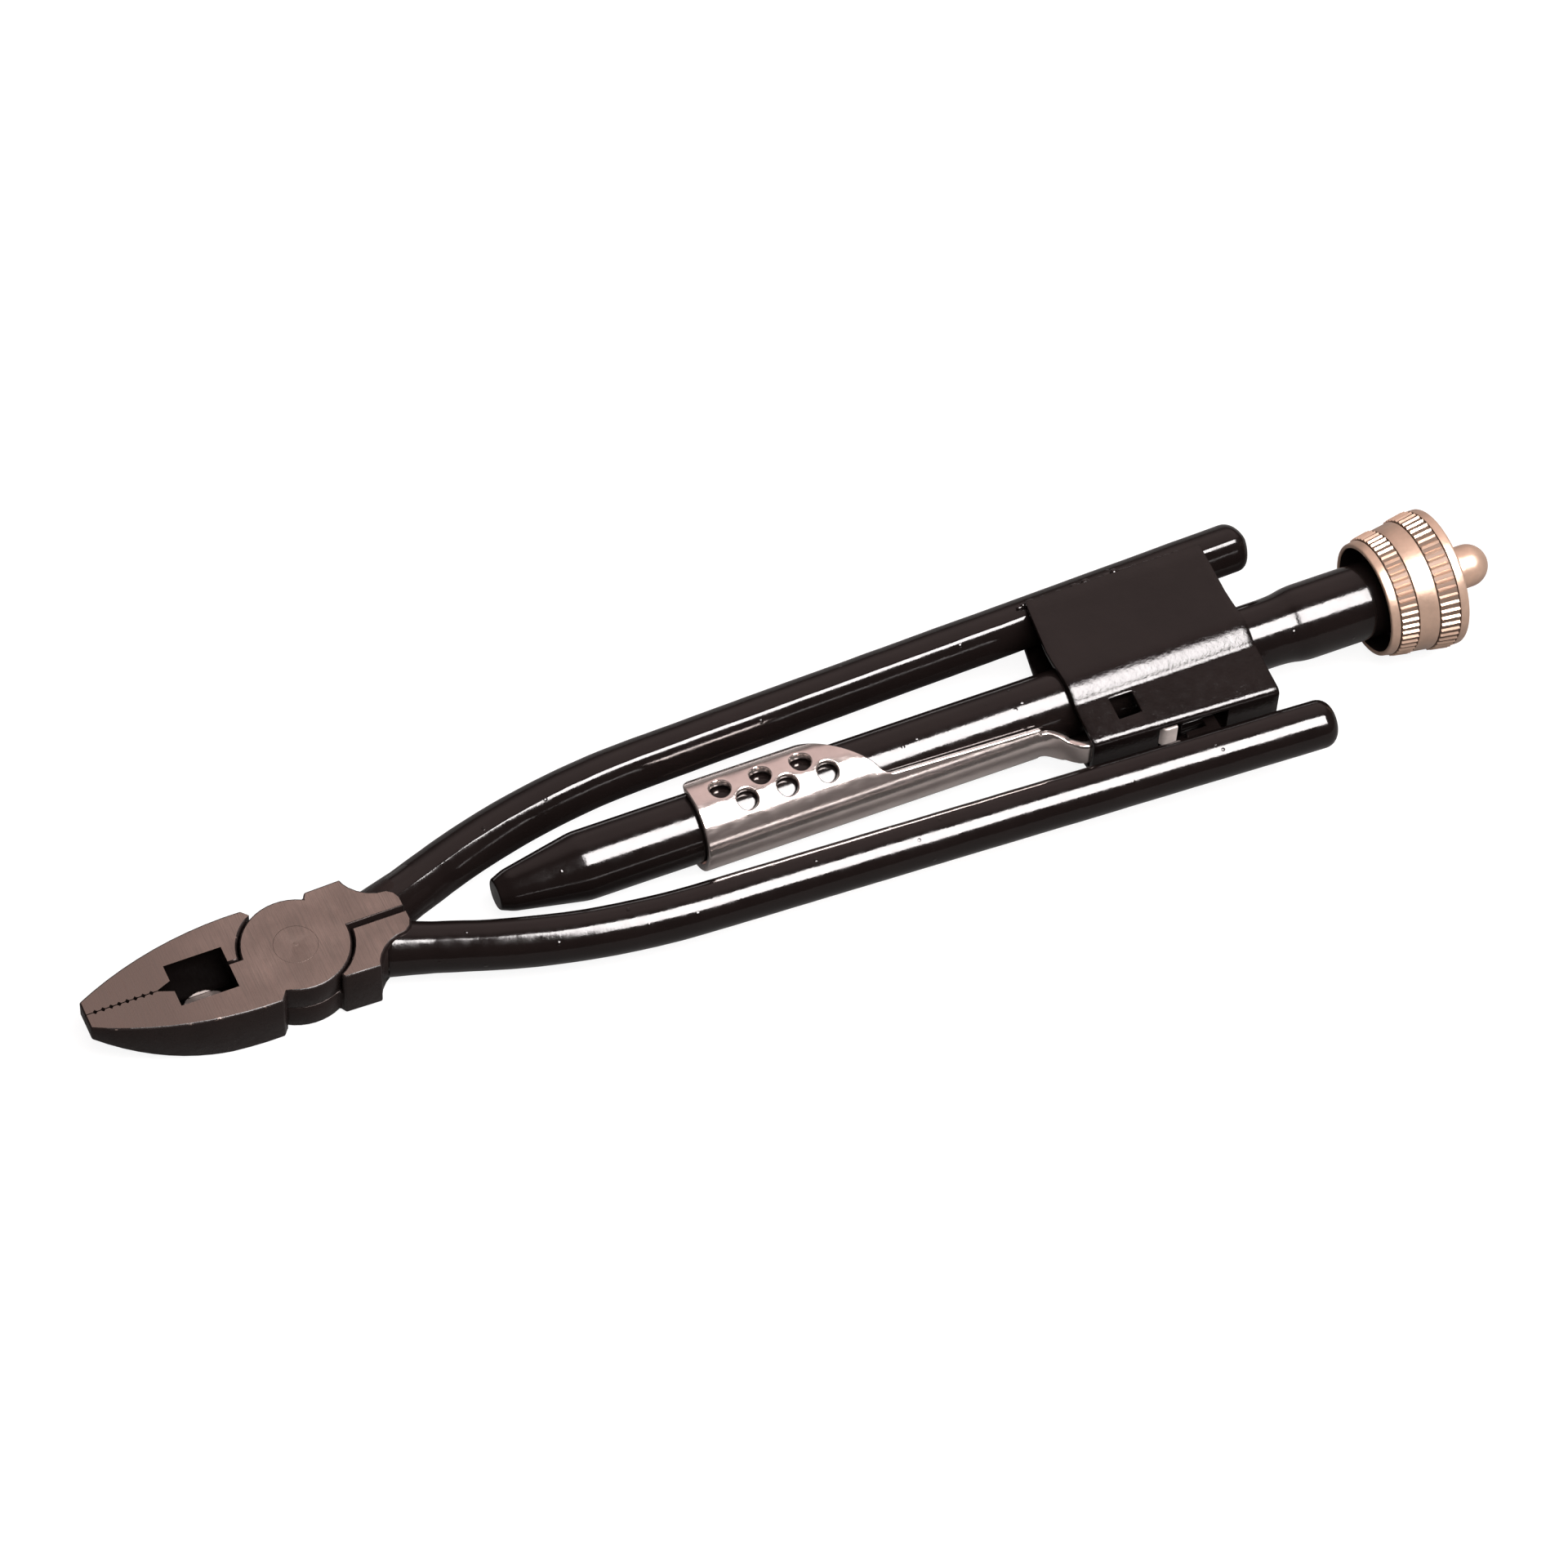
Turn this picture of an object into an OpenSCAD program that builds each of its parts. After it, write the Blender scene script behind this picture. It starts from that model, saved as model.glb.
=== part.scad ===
// Safety wire pliers: two crossed levers, a barrel with a twisted rod and a pull knob.
// The pivot axis is the Z axis, the underside of the head is Z = 0, and the knob points along +X.

/* [Head] */
// Thickness of the jaws and shoulders
head_t = 11; // [9:0.5:13]
// Diameter of the pivot disc
disc_d = 20; // [18:0.5:20]
// Gap round the disc where the two levers pass each other
disc_crack = 0.45; // [0.3:0.05:0.6]
// Pivot to the tip of the jaws
jaw_len = 39.6; // [37:0.2:46]
// Width of one jaw at its widest
jaw_w = 10.6; // [10.6:0.1:12]
// Width of one jaw at the tip
tip_w = 3; // [2:0.1:4]
// Radius of the curve that lifts the underside of the nose
nose_r = 50; // [45:1:80]
// Gap between the closed jaws
jaw_gap = 0.2; // [0.1:0.05:0.4]
// Diameter of the rivet's flush heads
rivet_d = 8; // [7:0.5:10]

/* [Cutter] */
// Length of the cutter window
window_len = 10.9; // [9:0.1:11]
// Width of the cutter window across both jaws
window_w = 9.2; // [7:0.1:10]
// Pivot to the rear end of the cutter window
window_x = 12.4; // [12:0.1:13]
// Pitch of the gripping grooves
groove_pitch = 1.5; // [1.2:0.1:2]

/* [Handles] */
// Diameter of the handle rod
rod_d = 9; // [8:0.25:9.5]
// Pivot to the blunt end of the far handle
handle_x = 200.1; // [194:0.1:212]
// How much shorter the near handle is
handle_step = 3.6; // [0:0.1:4]
// Angle at which the rods leave the head
root_angle = 20; // [19.5:0.1:20.5]
// Angle of the far handle's straight grip
grip_angle = 1.8; // [1.6:0.1:2.4]
// Angle of the near handle's straight grip
near_grip_angle = 2.7; // [2.4:0.1:3.2]
// Radius of the bend between root and grip
bend_r = 140; // [136:1:146]
// Half width of the slit between the shoulders
slit_half = 0.5; // [0.3:0.05:0.6]

/* [Barrel] */
// Outer diameter of the barrel
barrel_d = 13; // [12.4:0.1:13.2]
// Wall of the barrel
barrel_wall = 1.2; // [0.9:0.1:1.3]
// Outer diameter of the belled rear end
bell_d = 14.5; // [14.2:0.1:15.5]
// Pivot to the flat end of the barrel's nose
nose_x = 38.3; // [36:0.1:40]
// Length of the swaged nose
nose_len = 16.5; // [14:0.1:18]
// Pivot to the rear end of the barrel
barrel_x = 218.4; // [217:0.1:218.6]

/* [Housing] */
// Pivot to the front edge of the housing
housing_x = 151.3; // [150.5:0.1:153]
// Length of the housing along the barrel
housing_len = 38.8; // [32:0.1:41]
// Thickness of the housing's sheet
housing_t = 1.2; // [0.9:0.1:1.3]
// Distance from the barrel's axis to the outside of the slotted wall at its front edge
wall_y = 14.2; // [13.9:0.1:14.4]
// Angle at which the slotted wall runs outwards, beside the near handle
wall_angle = 2.8; // [2:0.1:3]

/* [Lock slide] */
// Pivot to the front edge of the slide
slide_x = 76.9; // [72:0.1:80]
// Thickness of the slide's spring sheet
slide_t = 1.4; // [1:0.1:1.4]
// Diameter of the finger holes
finger_hole_d = 4; // [3:0.1:5]
// Distance between the finger holes of one row
finger_hole_pitch = 8; // [7:0.1:8.5]
// How far the slide travels from free to locked
lock_travel = 3.5; // [2.5:0.1:3.8]

/* [Twist drive] */
// Width across the flats of the twisted rod
twist_w = 5; // [4:0.1:5.4]
// Length of one turn of the rod
twist_lead = 40; // [30:1:60]
// How far the knob pulls out
pull_travel = 130; // [100:1:132]
// Length of the nut
nut_len = 10; // [8:0.5:10]

/* [Knob] */
// Pivot to the front edge of the knob
knob_x = 215.3; // [214.5:0.1:216]
// Diameter of the knob at the front edge
knob_front_d = 22; // [21.6:0.1:23]
// Diameter of the knob at the rear rim
knob_rear_d = 26.4; // [25.8:0.1:28]
// Diameter of the cup in the front of the knob
cup_d = 20.4; // [19:0.1:20.6]
// Number of ribs round each knurled band
knurl_count = 54; // [48:1:72]
// Diameter of the selector pin
pin_d = 8.2; // [7:0.1:8.6]
// How far the selector pin stands out of the knob
pin_len = 10.6; // [8:0.1:12]
// How far the selector pin can be pushed in
pin_travel = 2; // [1.2:0.1:2]

/* [Fits] */
// Radial clearance of pins, shafts and bushes
fit = 0.05; // [0.03:0.01:0.08]
// Clearance between loose pieces
clearance = 0.3; // [0.2:0.05:0.4]

/* [Hidden] */
$fn = 48;

steel = "#6b615b";
black_paint = "#17110f";
nickel = "#d6c9c3";
warm_nickel = "#c9b79a";
bronze = "#a97d45";

// Head
half_t = head_t / 2;
disc_r = disc_d / 2;
disc_gap = 0.1;
through = 1;
jaw_wide_x = 8;
jaw_back_x = 5.3;
jaw_back_y = 9.1;
jaw_rise = jaw_w - tip_w;
jaw_arc_r = (pow(jaw_len - jaw_wide_x, 2) + pow(jaw_rise, 2)) / (2 * jaw_rise);
nose_start_x = 13;
nose_dip = 0.1;
shoulder_x = 4.8;
shoulder_end_x = 21;
shoulder_w = 10.2;
hoof_x = 12.4;
hoof_len = 6.8;
hoof_drop = 5.3;
shoulder_outline = concat([[shoulder_x, 8.8], [5.5, 10]],
    [for (a = [0 : 15 : 90])
        [hoof_x + hoof_len * (1 - cos(a)), shoulder_w - hoof_drop * pow(sin(a), 1.3)]],
    [[20.4, 4], [shoulder_end_x, 2.6]]);
rivet_r = rivet_d / 2;
rivet_shank_r = rivet_r - 0.8;
rivet_head_t = 1.5;
tongue_w = 0.7;
tongue_x = disc_r - 1;
blade_half_t = 2.2;
blade_edge = 0.15;
notch_len = 3;
notch_half = 1.2;
groove_start_x = window_x + window_len + notch_len + 0.9;
groove_depth = 0.4;
groove_count = floor((jaw_len - groove_start_x) / groove_pitch);

// Handles: the root runs straight, then bends towards the grip's angle
rod_r = rod_d / 2;
// The straight stretches are a hair thicker than the bend and lap over its ends
straight_r = rod_r + 0.1;
rod_lap = 1;
root_x = 20;
root_y = 5.05;
root_len = 11.2;
cone_back = 7.5;
cone_r = half_t - 0.3;
end_r = 2.8;
cone_front = 4;
bend_start = [root_x + root_len * cos(root_angle), root_y + root_len * sin(root_angle)];
bend_centre = [bend_start[0] + bend_r * sin(root_angle), bend_start[1] - bend_r * cos(root_angle)];
flat_depth = 0.8;
flat_spare = 4;
flat_x = housing_x - 0.8;

// Barrel
barrel_r = barrel_d / 2;
bore_r = barrel_r - barrel_wall;
bell_r = bell_d / 2;
bell_bore_r = bell_r - barrel_wall;
nose_face_r = 2.9;
nose_lip_r = 3.9;
nose_lip_len = 2.5;
flare_x = housing_x + housing_len + 6.9;
flare_len = 3;
nut_x = barrel_x - nut_len - 4.4;
clip_t = 0.9;
clip_groove = 0.45;

// Housing: crown over the barrel, plates on the far handle, flange and wall by the near handle
crown_r = barrel_r + 0.2 + housing_t;
plate_y = 20.3;
plate_z = rod_r + 0.05 + housing_t;
flange_z = 7.7;
corner_z = 4.6;
corner_r = 1.4;
front_slant = 2.3;
rear_slant = 1.4;
slant_y = 6;
slot_x = housing_x + 13.3;
slot_len = 13.8;
slot_half = 3.2;
lance_x = housing_x + 6.7;
lance_len = 4.6;
lance_y = 6.3;
lance_w = 4.5;

// Lock slide: sleeve round the barrel, slanted edge, arm, neck and latch tail
slide_in_r = barrel_r + 0.4;
slide_r = slide_in_r + slide_t;
sleeve_top_y = 6.4;
sleeve_corner_r = 3;
slope_len = 12;
slope_end = 35.3;
slope_low_y = -4.8;
slope_bow = 1.15;
arm_front_y = 5.75;
arm_y = 6.45;
arm_len = 67;
arm_x = slide_x + arm_len;
neck_half = 2.6;
tail_y = wall_y - housing_t - clearance;
tail_t = 1;
tail_bend_x = arm_x + 2.2;
tail_bend_len = 5.4;
tail_swing = tail_y - tail_t / 2 - slide_r + slide_t / 2;
tail_x = slot_x - 1.7;
tab_len = 5.5;
tab_top = 2.4;
tab_y = wall_y + 0.7;
tab_step_x = slot_x + 0.4;
hole_row_1 = [96, 5.7];
hole_row_2 = [69, 9.6];

// Catch on the near handle, clear of the step in the slide's tail when that is locked
catch_gap = 0.4;
catch_x = tab_step_x + tail_t + lock_travel + catch_gap;
catch_len = 6.6;
catch_low = -3;
catch_high = 0.4;
catch_tip_y = tail_y - tail_t - 1.3;
catch_notch = lock_travel + 0.7;
catch_notch_play = 0.4;

// Twist drive, along the barrel's axis
stop_spare = 9;
rod_x = nut_x - pull_travel - stop_spare;
rod_shoulder_x = knob_x + 3.7;
shank_r = 3;
stop_len = 4;
stop_r = bore_r - clearance;
tenon_r = 2;
slice_len = 0.8;
nut_play = 0.3;

// Knob, measured from its front edge
knob_len = 15.3;
knob_bands = [1.7, 5.4, 9.3, 13.4];
rim_r = 0.6;
knurl_depth = 0.35;
groove_step = 0.3;
wall_front = 5.1;
wall_rear = 6.7;
cavity_r = 9.6;
cap_x = 13.8;
cap_r = 10.8;
bush_r = 4.2;
washer_r = 6.5;
washer_t = 0.8;
ratchet_x = 7.1;
ratchet_t = 2;
ratchet_r = 6.2;
ratchet_root_r = 5;
ratchet_teeth = 12;
shank_clip_x = 9.3;
shank_clip_t = 0.7;
shank_clip_r = 4.4;
pawl_pivot_r = 8;
pawl_pin_r = 0.8;
pawl_boss_r = 1.3;
pawl_outline = [[9.2, 0.4], [7.1, 3.2], [6, 2.6], [6.9, -0.8]];
spring_t = 0.3;
spring_start = 8;
spring_sweep = 50;
pin_r = pin_d / 2;
pin_flange_r = 5.2;
pin_flange_t = 0.9;
pin_end_x = knob_x + knob_len + pin_len;
pin_inner_x = knob_x + cap_x - pin_flange_t - 0.1;
shank_end_x = pin_inner_x - pin_travel - clearance;

// Raises the mid-plane of the tool to its height above the underside of the head
module at_mid() {
    translate([0, 0, half_t]) children();
}

// Turns a shape that stands on Z so that it lies along the barrel's axis from x
module along_barrel(x) {
    translate([x, 0, 0]) rotate([0, 90, 0]) children();
}

// Where the bend ends and a straight grip at this angle starts
function grip_start(angle) =
    [bend_centre[0] - bend_r * sin(angle), bend_centre[1] + bend_r * cos(angle)];

// Frame of the straight grip: X runs along it, from where the bend ends
module on_grip(angle) {
    translate([grip_start(angle)[0], grip_start(angle)[1], 0]) rotate([0, 0, angle]) children();
}

module ring(outer_r, inner_r, length) {
    difference() {
        cylinder(r = outer_r, h = length);
        translate([0, 0, -through]) cylinder(r = inner_r, h = length + 2 * through);
    }
}

// Retaining ring with a gap in it
module split_ring(outer_r, inner_r, length, gap) {
    difference() {
        ring(outer_r, inner_r, length);
        translate([0, -gap / 2, -through]) cube([outer_r + through, gap, length + 2 * through]);
    }
}

// Square bar along the barrel's axis, turning once in every lead
module twisted_bar(x, length, side) {
    along_barrel(x)
        rotate([0, 0, -360 * (x - rod_x) / twist_lead])
            linear_extrude(height = length, twist = 360 * length / twist_lead,
                slices = ceil(length / slice_len), segments = 4)
                square(side, center = true);
}

// Bend and grip of the handle that lies on the +Y side, with a blunt end
module handle(angle, end_x) {
    grip_len = (end_x - grip_start(angle)[0]) / cos(angle);
    translate([bend_centre[0], bend_centre[1], 0]) rotate([0, 0, 90 + angle])
        rotate_extrude(angle = root_angle - angle, $fn = 480)
            translate([bend_r, 0]) circle(r = rod_r, $fn = 48);
    on_grip(angle) rotate([0, 90, 0]) rotate_extrude()
        polygon(concat([[0, -rod_lap], [straight_r, -rod_lap]],
            [for (a = [0 : 15 : 90])
                [straight_r - end_r * (1 - cos(a)), grip_len - end_r * (1 - sin(a))]],
            [[0, grip_len]]));
}

// Cone that leads from the shoulder into the straight root of the rod, cut off at the slit
module handle_root() {
    difference() {
        translate([root_x, root_y, 0]) rotate([0, 0, root_angle]) rotate([0, 90, 0]) rotate_extrude()
            polygon([[0, -cone_back], [cone_r, -cone_back], [straight_r, cone_front],
                [straight_r, root_len + rod_lap], [0, root_len + rod_lap]]);
        translate([0, slit_half - disc_d, -head_t]) cube([root_x + disc_d, disc_d, 2 * head_t]);
    }
}

module shoulder() {
    translate([0, 0, -half_t]) linear_extrude(height = head_t)
        polygon(concat(shoulder_outline, [[shoulder_end_x, slit_half], [shoulder_x, slit_half]]));
}

// What the curve under the nose takes away, on the face below (side -1) or above (side 1)
module nose_relief(side) {
    mirror([0, 0, (side + 1) / 2]) difference() {
        translate([-2 * jaw_len, -2 * jaw_w, -head_t - half_t])
            cube([2 * jaw_len - nose_start_x, 4 * jaw_w, 2 * head_t]);
        translate([-nose_start_x, 2 * jaw_w + through, nose_r - half_t - nose_dip]) rotate([90, 0, 0])
            cylinder(r = nose_r, h = 4 * jaw_w + 2 * through, $fn = 96);
    }
}

// Jaw on the -Y side, between the curved outer edge and the jaw line
module jaw_blank(side) {
    difference() {
        intersection() {
            translate([-jaw_wide_x, jaw_arc_r - jaw_w, -half_t])
                cylinder(r = jaw_arc_r, h = head_t, $fn = 96);
            translate([0, 0, -half_t]) linear_extrude(height = head_t)
                polygon([[-jaw_len, -jaw_gap / 2], [-jaw_back_x, -jaw_gap / 2], [-jaw_back_x, -jaw_back_y],
                    [-jaw_back_x - 1.1, -jaw_w], [-jaw_len, -jaw_w]]);
        }
        nose_relief(side);
    }
}

module cutter_window() {
    translate([-window_x - window_len, -window_w / 2, -head_t]) cube([window_len, window_w, 2 * head_t]);
    translate([0, 0, -head_t]) linear_extrude(height = 2 * head_t)
        polygon([[-window_x - window_len - notch_len, 0], [-window_x - window_len, notch_half],
            [-window_x - window_len, -notch_half]]);
}

module grip_grooves() {
    for (i = [0 : groove_count - 1])
        translate([-groove_start_x - i * groove_pitch, -jaw_gap / 2, -head_t])
            linear_extrude(height = 2 * head_t)
                polygon([[-2 * groove_depth, groove_depth], [0, -groove_depth], [2 * groove_depth, groove_depth]]);
}

// Cutting edge in the window, a wedge from the jaw to the jaw line
module cutter_blade() {
    translate([-window_x - window_len, 0, 0]) rotate([90, 0, 90]) linear_extrude(height = window_len)
        polygon([[-window_w / 2 - 0.5, -blade_half_t], [-jaw_gap / 2, -blade_edge],
            [-jaw_gap / 2, blade_edge], [-window_w / 2 - 0.5, blade_half_t]]);
}

// Short tongue of the disc's layer that reaches across the jaw line behind the cutter
module tongue(spare) {
    translate([-window_x, -2, disc_gap / 2 - spare])
        cube([window_x - tongue_x, 2 + tongue_w + spare, half_t - disc_gap / 2 + spare]);
}

// One lever on its own: jaw on -Y with its nose cut back on one side, upper half of the disc,
// shoulder and handle on +Y
module half_lever(nose_side, angle, end_x) {
    difference() {
        union() {
            difference() {
                union() {
                    jaw_blank(nose_side);
                    shoulder();
                    handle_root();
                }
                translate([0, 0, -half_t - through])
                    cylinder(r = disc_r + disc_crack, h = half_t + through + disc_gap / 2);
                cutter_window();
                grip_grooves();
                rotate([180, 0, 0]) tongue(jaw_gap);
            }
            cutter_blade();
            tongue(0);
            translate([0, 0, disc_gap / 2]) cylinder(r = disc_r, h = half_t - disc_gap / 2);
            handle(angle, end_x);
        }
        translate([0, 0, -head_t]) cylinder(r = rivet_shank_r + fit, h = 2 * head_t);
        translate([0, 0, half_t - rivet_head_t - fit]) cylinder(r = rivet_r + fit, h = head_t);
    }
}

module frame_lever() {
    color(steel) at_mid() half_lever(-1, grip_angle, handle_x);
}

// The second lever is the first turned over, with a flat pressed where the housing's wall passes
module swing_lever() {
    color(steel) at_mid() rotate([180, 0, 0]) difference() {
        half_lever(1, near_grip_angle, handle_x - handle_step);
        on_grip(near_grip_angle)
            translate([flat_x - grip_start(near_grip_angle)[0], -2 * rod_r + flat_depth - rod_r, -rod_d])
                cube([housing_len + flat_spare, 2 * rod_r, 2 * rod_d]);
    }
}

module pivot_rivet() {
    color(steel) at_mid() difference() {
        union() {
            translate([0, 0, -half_t]) cylinder(r = rivet_shank_r, h = head_t);
            translate([0, 0, half_t - rivet_head_t]) cylinder(r = rivet_r, h = rivet_head_t);
            translate([0, 0, -half_t]) cylinder(r = rivet_r, h = rivet_head_t);
        }
        translate([0, 0, half_t - 0.5]) cylinder(r1 = 0.1, r2 = 0.7, h = 0.6);
    }
}

// Crown over the barrel and plates on the far handle, or with inset their hollow
module housing_crown(inset) {
    translate([housing_x - through, 0, 0]) rotate([90, 0, 90]) {
        cylinder(r = crown_r - inset, h = housing_len + 2 * through, $fn = 96);
        linear_extrude(height = housing_len + 2 * through)
            polygon([[0, crown_r - inset], [plate_y + inset, plate_z - inset],
                [plate_y + inset, inset - plate_z], [0, inset - crown_r]]);
    }
}

// Frame of the slotted wall: X runs along it from the housing's front edge
module on_wall() {
    translate([housing_x, -wall_y, 0]) rotate([0, 0, -wall_angle]) children();
}

// Slanted flanges and the slotted wall, or with inset their hollow
module housing_wall(inset) {
    length = housing_len + 6 * through;
    on_wall() translate([-3 * through, 0, 0]) rotate([90, 0, 90]) {
        linear_extrude(height = length)
            polygon([[wall_y, flange_z - inset], [corner_r, corner_z - inset],
                [corner_r, inset - corner_z], [wall_y, inset - flange_z]]);
        for (side = [-1, 1])
            translate([corner_r, side * (corner_z - corner_r), 0]) cylinder(r = corner_r - inset, h = length);
        translate([inset, corner_r - corner_z, 0]) cube([corner_r, 2 * (corner_z - corner_r), length]);
    }
}

// The housing seen from above: both ends slant where the plates lie on the far handle
module housing_plan() {
    rear_x = housing_x + housing_len;
    translate([0, 0, -2 * crown_r]) linear_extrude(height = 4 * crown_r)
        polygon([[housing_x, -2 * wall_y], [housing_x, slant_y], [housing_x + front_slant, plate_y],
            [housing_x + front_slant, 2 * plate_y], [rear_x, 2 * plate_y], [rear_x, plate_y],
            [rear_x - rear_slant, slant_y], [rear_x - rear_slant, -2 * wall_y]]);
}

module latch_housing() {
    color(black_paint) at_mid() difference() {
        intersection() {
            union() {
                housing_crown(0);
                housing_wall(0);
            }
            housing_plan();
        }
        housing_crown(housing_t);
        housing_wall(housing_t);
        on_wall() translate([slot_x - housing_x, -through, -slot_half])
            cube([slot_len, housing_t + 2 * through, 2 * slot_half]);
        translate([lance_x, -lance_y - lance_w, 0]) cube([lance_len, lance_w, 2 * corner_z]);
    }
}

module barrel_tube() {
    color(black_paint) at_mid() along_barrel(0) rotate_extrude()
        polygon([[0, nose_x], [nose_face_r, nose_x], [nose_lip_r, nose_x + nose_lip_len],
            [barrel_r, nose_x + nose_len], [barrel_r, flare_x], [bell_r, flare_x + flare_len],
            [bell_r, barrel_x], [bell_bore_r, barrel_x], [bell_bore_r, nut_x + nut_len + clip_t + 2 * fit],
            [bell_bore_r + clip_groove, nut_x + nut_len + clip_t + 2 * fit],
            [bell_bore_r + clip_groove, nut_x + nut_len + fit], [bell_bore_r, nut_x + nut_len + fit],
            [bell_bore_r, nut_x - fit], [bore_r, nut_x - fit], [bore_r, nose_x + nose_len],
            [nose_lip_r - barrel_wall, nose_x + 2 * nose_lip_len], [0, nose_x + 2 * nose_lip_len]]);
}

module drive_nut() {
    color(bronze) at_mid() difference() {
        along_barrel(nut_x) cylinder(r = bell_bore_r - fit, h = nut_len);
        twisted_bar(nut_x - through, nut_len + 2 * through, twist_w + 2 * nut_play);
    }
}

module nut_clip() {
    color(nickel) at_mid() along_barrel(nut_x + nut_len + fit + fit / 2)
        split_ring(bell_bore_r + clip_groove - fit, bell_bore_r - 0.9, clip_t, 3);
}

// The near handle's catch, with a notch that takes the slide's tab outside the housing's wall
module catch_plate() {
    color(black_paint) at_mid() difference() {
        intersection() {
            translate([catch_x, -wall_y - rod_d, catch_low])
                cube([catch_len, rod_d + wall_y - catch_tip_y, catch_high - catch_low]);
            rotate([180, 0, 0]) on_grip(near_grip_angle) translate([0, -bend_r + flat_depth - rod_r, -rod_d])
                cube([handle_x, bend_r, 2 * rod_d]);
        }
        translate([catch_x - through, -tab_y - catch_notch_play, -rod_d])
            cube([catch_notch + through, tail_t + 2 * catch_notch_play, 2 * rod_d]);
    }
}

// Edge of the slide seen from above, from the front of the sleeve back to the neck
function slide_edge() = concat(
    [[slide_x, -2 * slide_r], [slide_x, sleeve_top_y - sleeve_corner_r]],
    [for (a = [75 : -15 : 0])
        [slide_x + sleeve_corner_r * (1 - sin(a)), sleeve_top_y - sleeve_corner_r * (1 - cos(a))]],
    [for (s = [1 : -0.125 : 0])
        [slide_x + slope_end - slope_len * pow(s, slope_bow), slope_low_y + s * (sleeve_top_y - slope_low_y)]],
    [[slide_x + slope_end + 0.9, slope_low_y - 0.6], [slide_x + slope_end + 2.1, -arm_front_y],
        [arm_x, -arm_y], [arm_x, -2 * slide_r]]);

// Middle line of the neck as it swings out from the sleeve's side to the housing's wall
function tail_path(s) = [tail_bend_x + tail_bend_len * s,
    -slide_r + slide_t / 2 - tail_swing * (1 - cos(180 * s)) / 2];

function tail_angle(s) = atan2(-tail_swing * PI / 2 * sin(180 * s), tail_bend_len);

function tail_side(offset) = [for (s = [0 : 0.125 : 1])
    tail_path(s) + offset * [sin(tail_angle(s)), -cos(tail_angle(s))]];

module slide_tail() {
    half = tail_t / 2;
    front_x = arm_x - 1.5;
    translate([0, 0, -neck_half]) linear_extrude(height = 2 * neck_half)
        polygon(concat([[front_x, -slide_r + slide_t / 2 - half]], tail_side(half),
            [[tail_x, -tail_y], [tail_x, tail_t - tail_y]],
            [for (i = [8 : -1 : 0]) tail_side(-half)[i]], [[front_x, -slide_r + slide_t / 2 + half]]));
    translate([0, 0, -neck_half]) linear_extrude(height = neck_half + tab_top)
        polygon([[tail_x - 0.5, -tail_y], [tab_step_x, -tail_y], [tab_step_x, -tab_y],
            [tail_x + tab_len, -tab_y], [tail_x + tab_len, tail_t - tab_y],
            [tab_step_x + tail_t, tail_t - tab_y], [tab_step_x + tail_t, tail_t - tail_y],
            [tail_x - 0.5, tail_t - tail_y]]);
}

module finger_hole(angle, x) {
    for (side = [-1, 1])
        translate([x, 0, 0]) rotate([side * (180 - angle), 0, 0]) rotate([-90, 0, 0])
            cylinder(d = finger_hole_d, h = 2 * slide_r);
}

module lock_slide() {
    color(nickel) at_mid() {
        difference() {
            intersection() {
                along_barrel(slide_x) ring(slide_r, slide_in_r, arm_x - slide_x);
                translate([0, 0, -2 * slide_r]) linear_extrude(height = 4 * slide_r) polygon(slide_edge());
            }
            for (row = [hole_row_1, hole_row_2])
                for (i = [0 : 2])
                    finger_hole(row[0], slide_x + row[1] + i * finger_hole_pitch);
        }
        slide_tail();
    }
}

module thrust_washer() {
    color(bronze) at_mid() along_barrel(knob_x + wall_front - clearance - washer_t)
        ring(washer_r, shank_r + fit, washer_t);
}

module twist_rod() {
    color(nickel) at_mid() {
        along_barrel(rod_x - stop_len - 0.2) cylinder(r = tenon_r, h = stop_len + 0.2);
        twisted_bar(rod_x, rod_shoulder_x - rod_x, twist_w);
        along_barrel(rod_shoulder_x) rotate_extrude()
            polygon([[0, 0], [shank_r, 0], [shank_r, shank_clip_x + knob_x - rod_shoulder_x],
                [shank_r - 0.4, shank_clip_x + knob_x - rod_shoulder_x],
                [shank_r - 0.4, shank_clip_x + shank_clip_t + 2 * fit + knob_x - rod_shoulder_x],
                [shank_r, shank_clip_x + shank_clip_t + 2 * fit + knob_x - rod_shoulder_x],
                [shank_r, shank_end_x - rod_shoulder_x], [0, shank_end_x - rod_shoulder_x]]);
    }
}

module rod_stop() {
    color(bronze) at_mid() along_barrel(rod_x - stop_len) ring(stop_r, tenon_r + fit, stop_len - fit);
}

module ratchet_wheel() {
    step = 360 / ratchet_teeth;
    color(steel) at_mid() along_barrel(knob_x + ratchet_x) difference() {
        linear_extrude(height = ratchet_t)
            polygon([for (i = [0 : ratchet_teeth - 1], tip = [0, 1])
                let (r = tip ? ratchet_r : ratchet_root_r, a = step * (i + (tip ? 0.12 : 0)))
                [r * cos(a), r * sin(a)]]);
        translate([0, 0, -through]) cylinder(r = shank_r + fit / 2, h = ratchet_t + 2 * through);
    }
}

module rod_clip() {
    color(nickel) at_mid() along_barrel(knob_x + shank_clip_x + fit)
        split_ring(shank_clip_r, shank_r - 0.4 + fit, shank_clip_t, 2);
}

// Ribbed band of the knob between two of its steps
module knurl_band(start, end, radius) {
    step = 360 / knurl_count;
    translate([0, 0, start + groove_step]) linear_extrude(height = end - start - 2 * groove_step)
        polygon([for (i = [0 : knurl_count - 1], part = [0 : 3])
            let (r = part < 2 ? radius : radius - knurl_depth, a = step * (i + [0, 0.4, 0.55, 0.85][part]))
            [r * cos(a), r * sin(a)]]);
}

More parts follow.
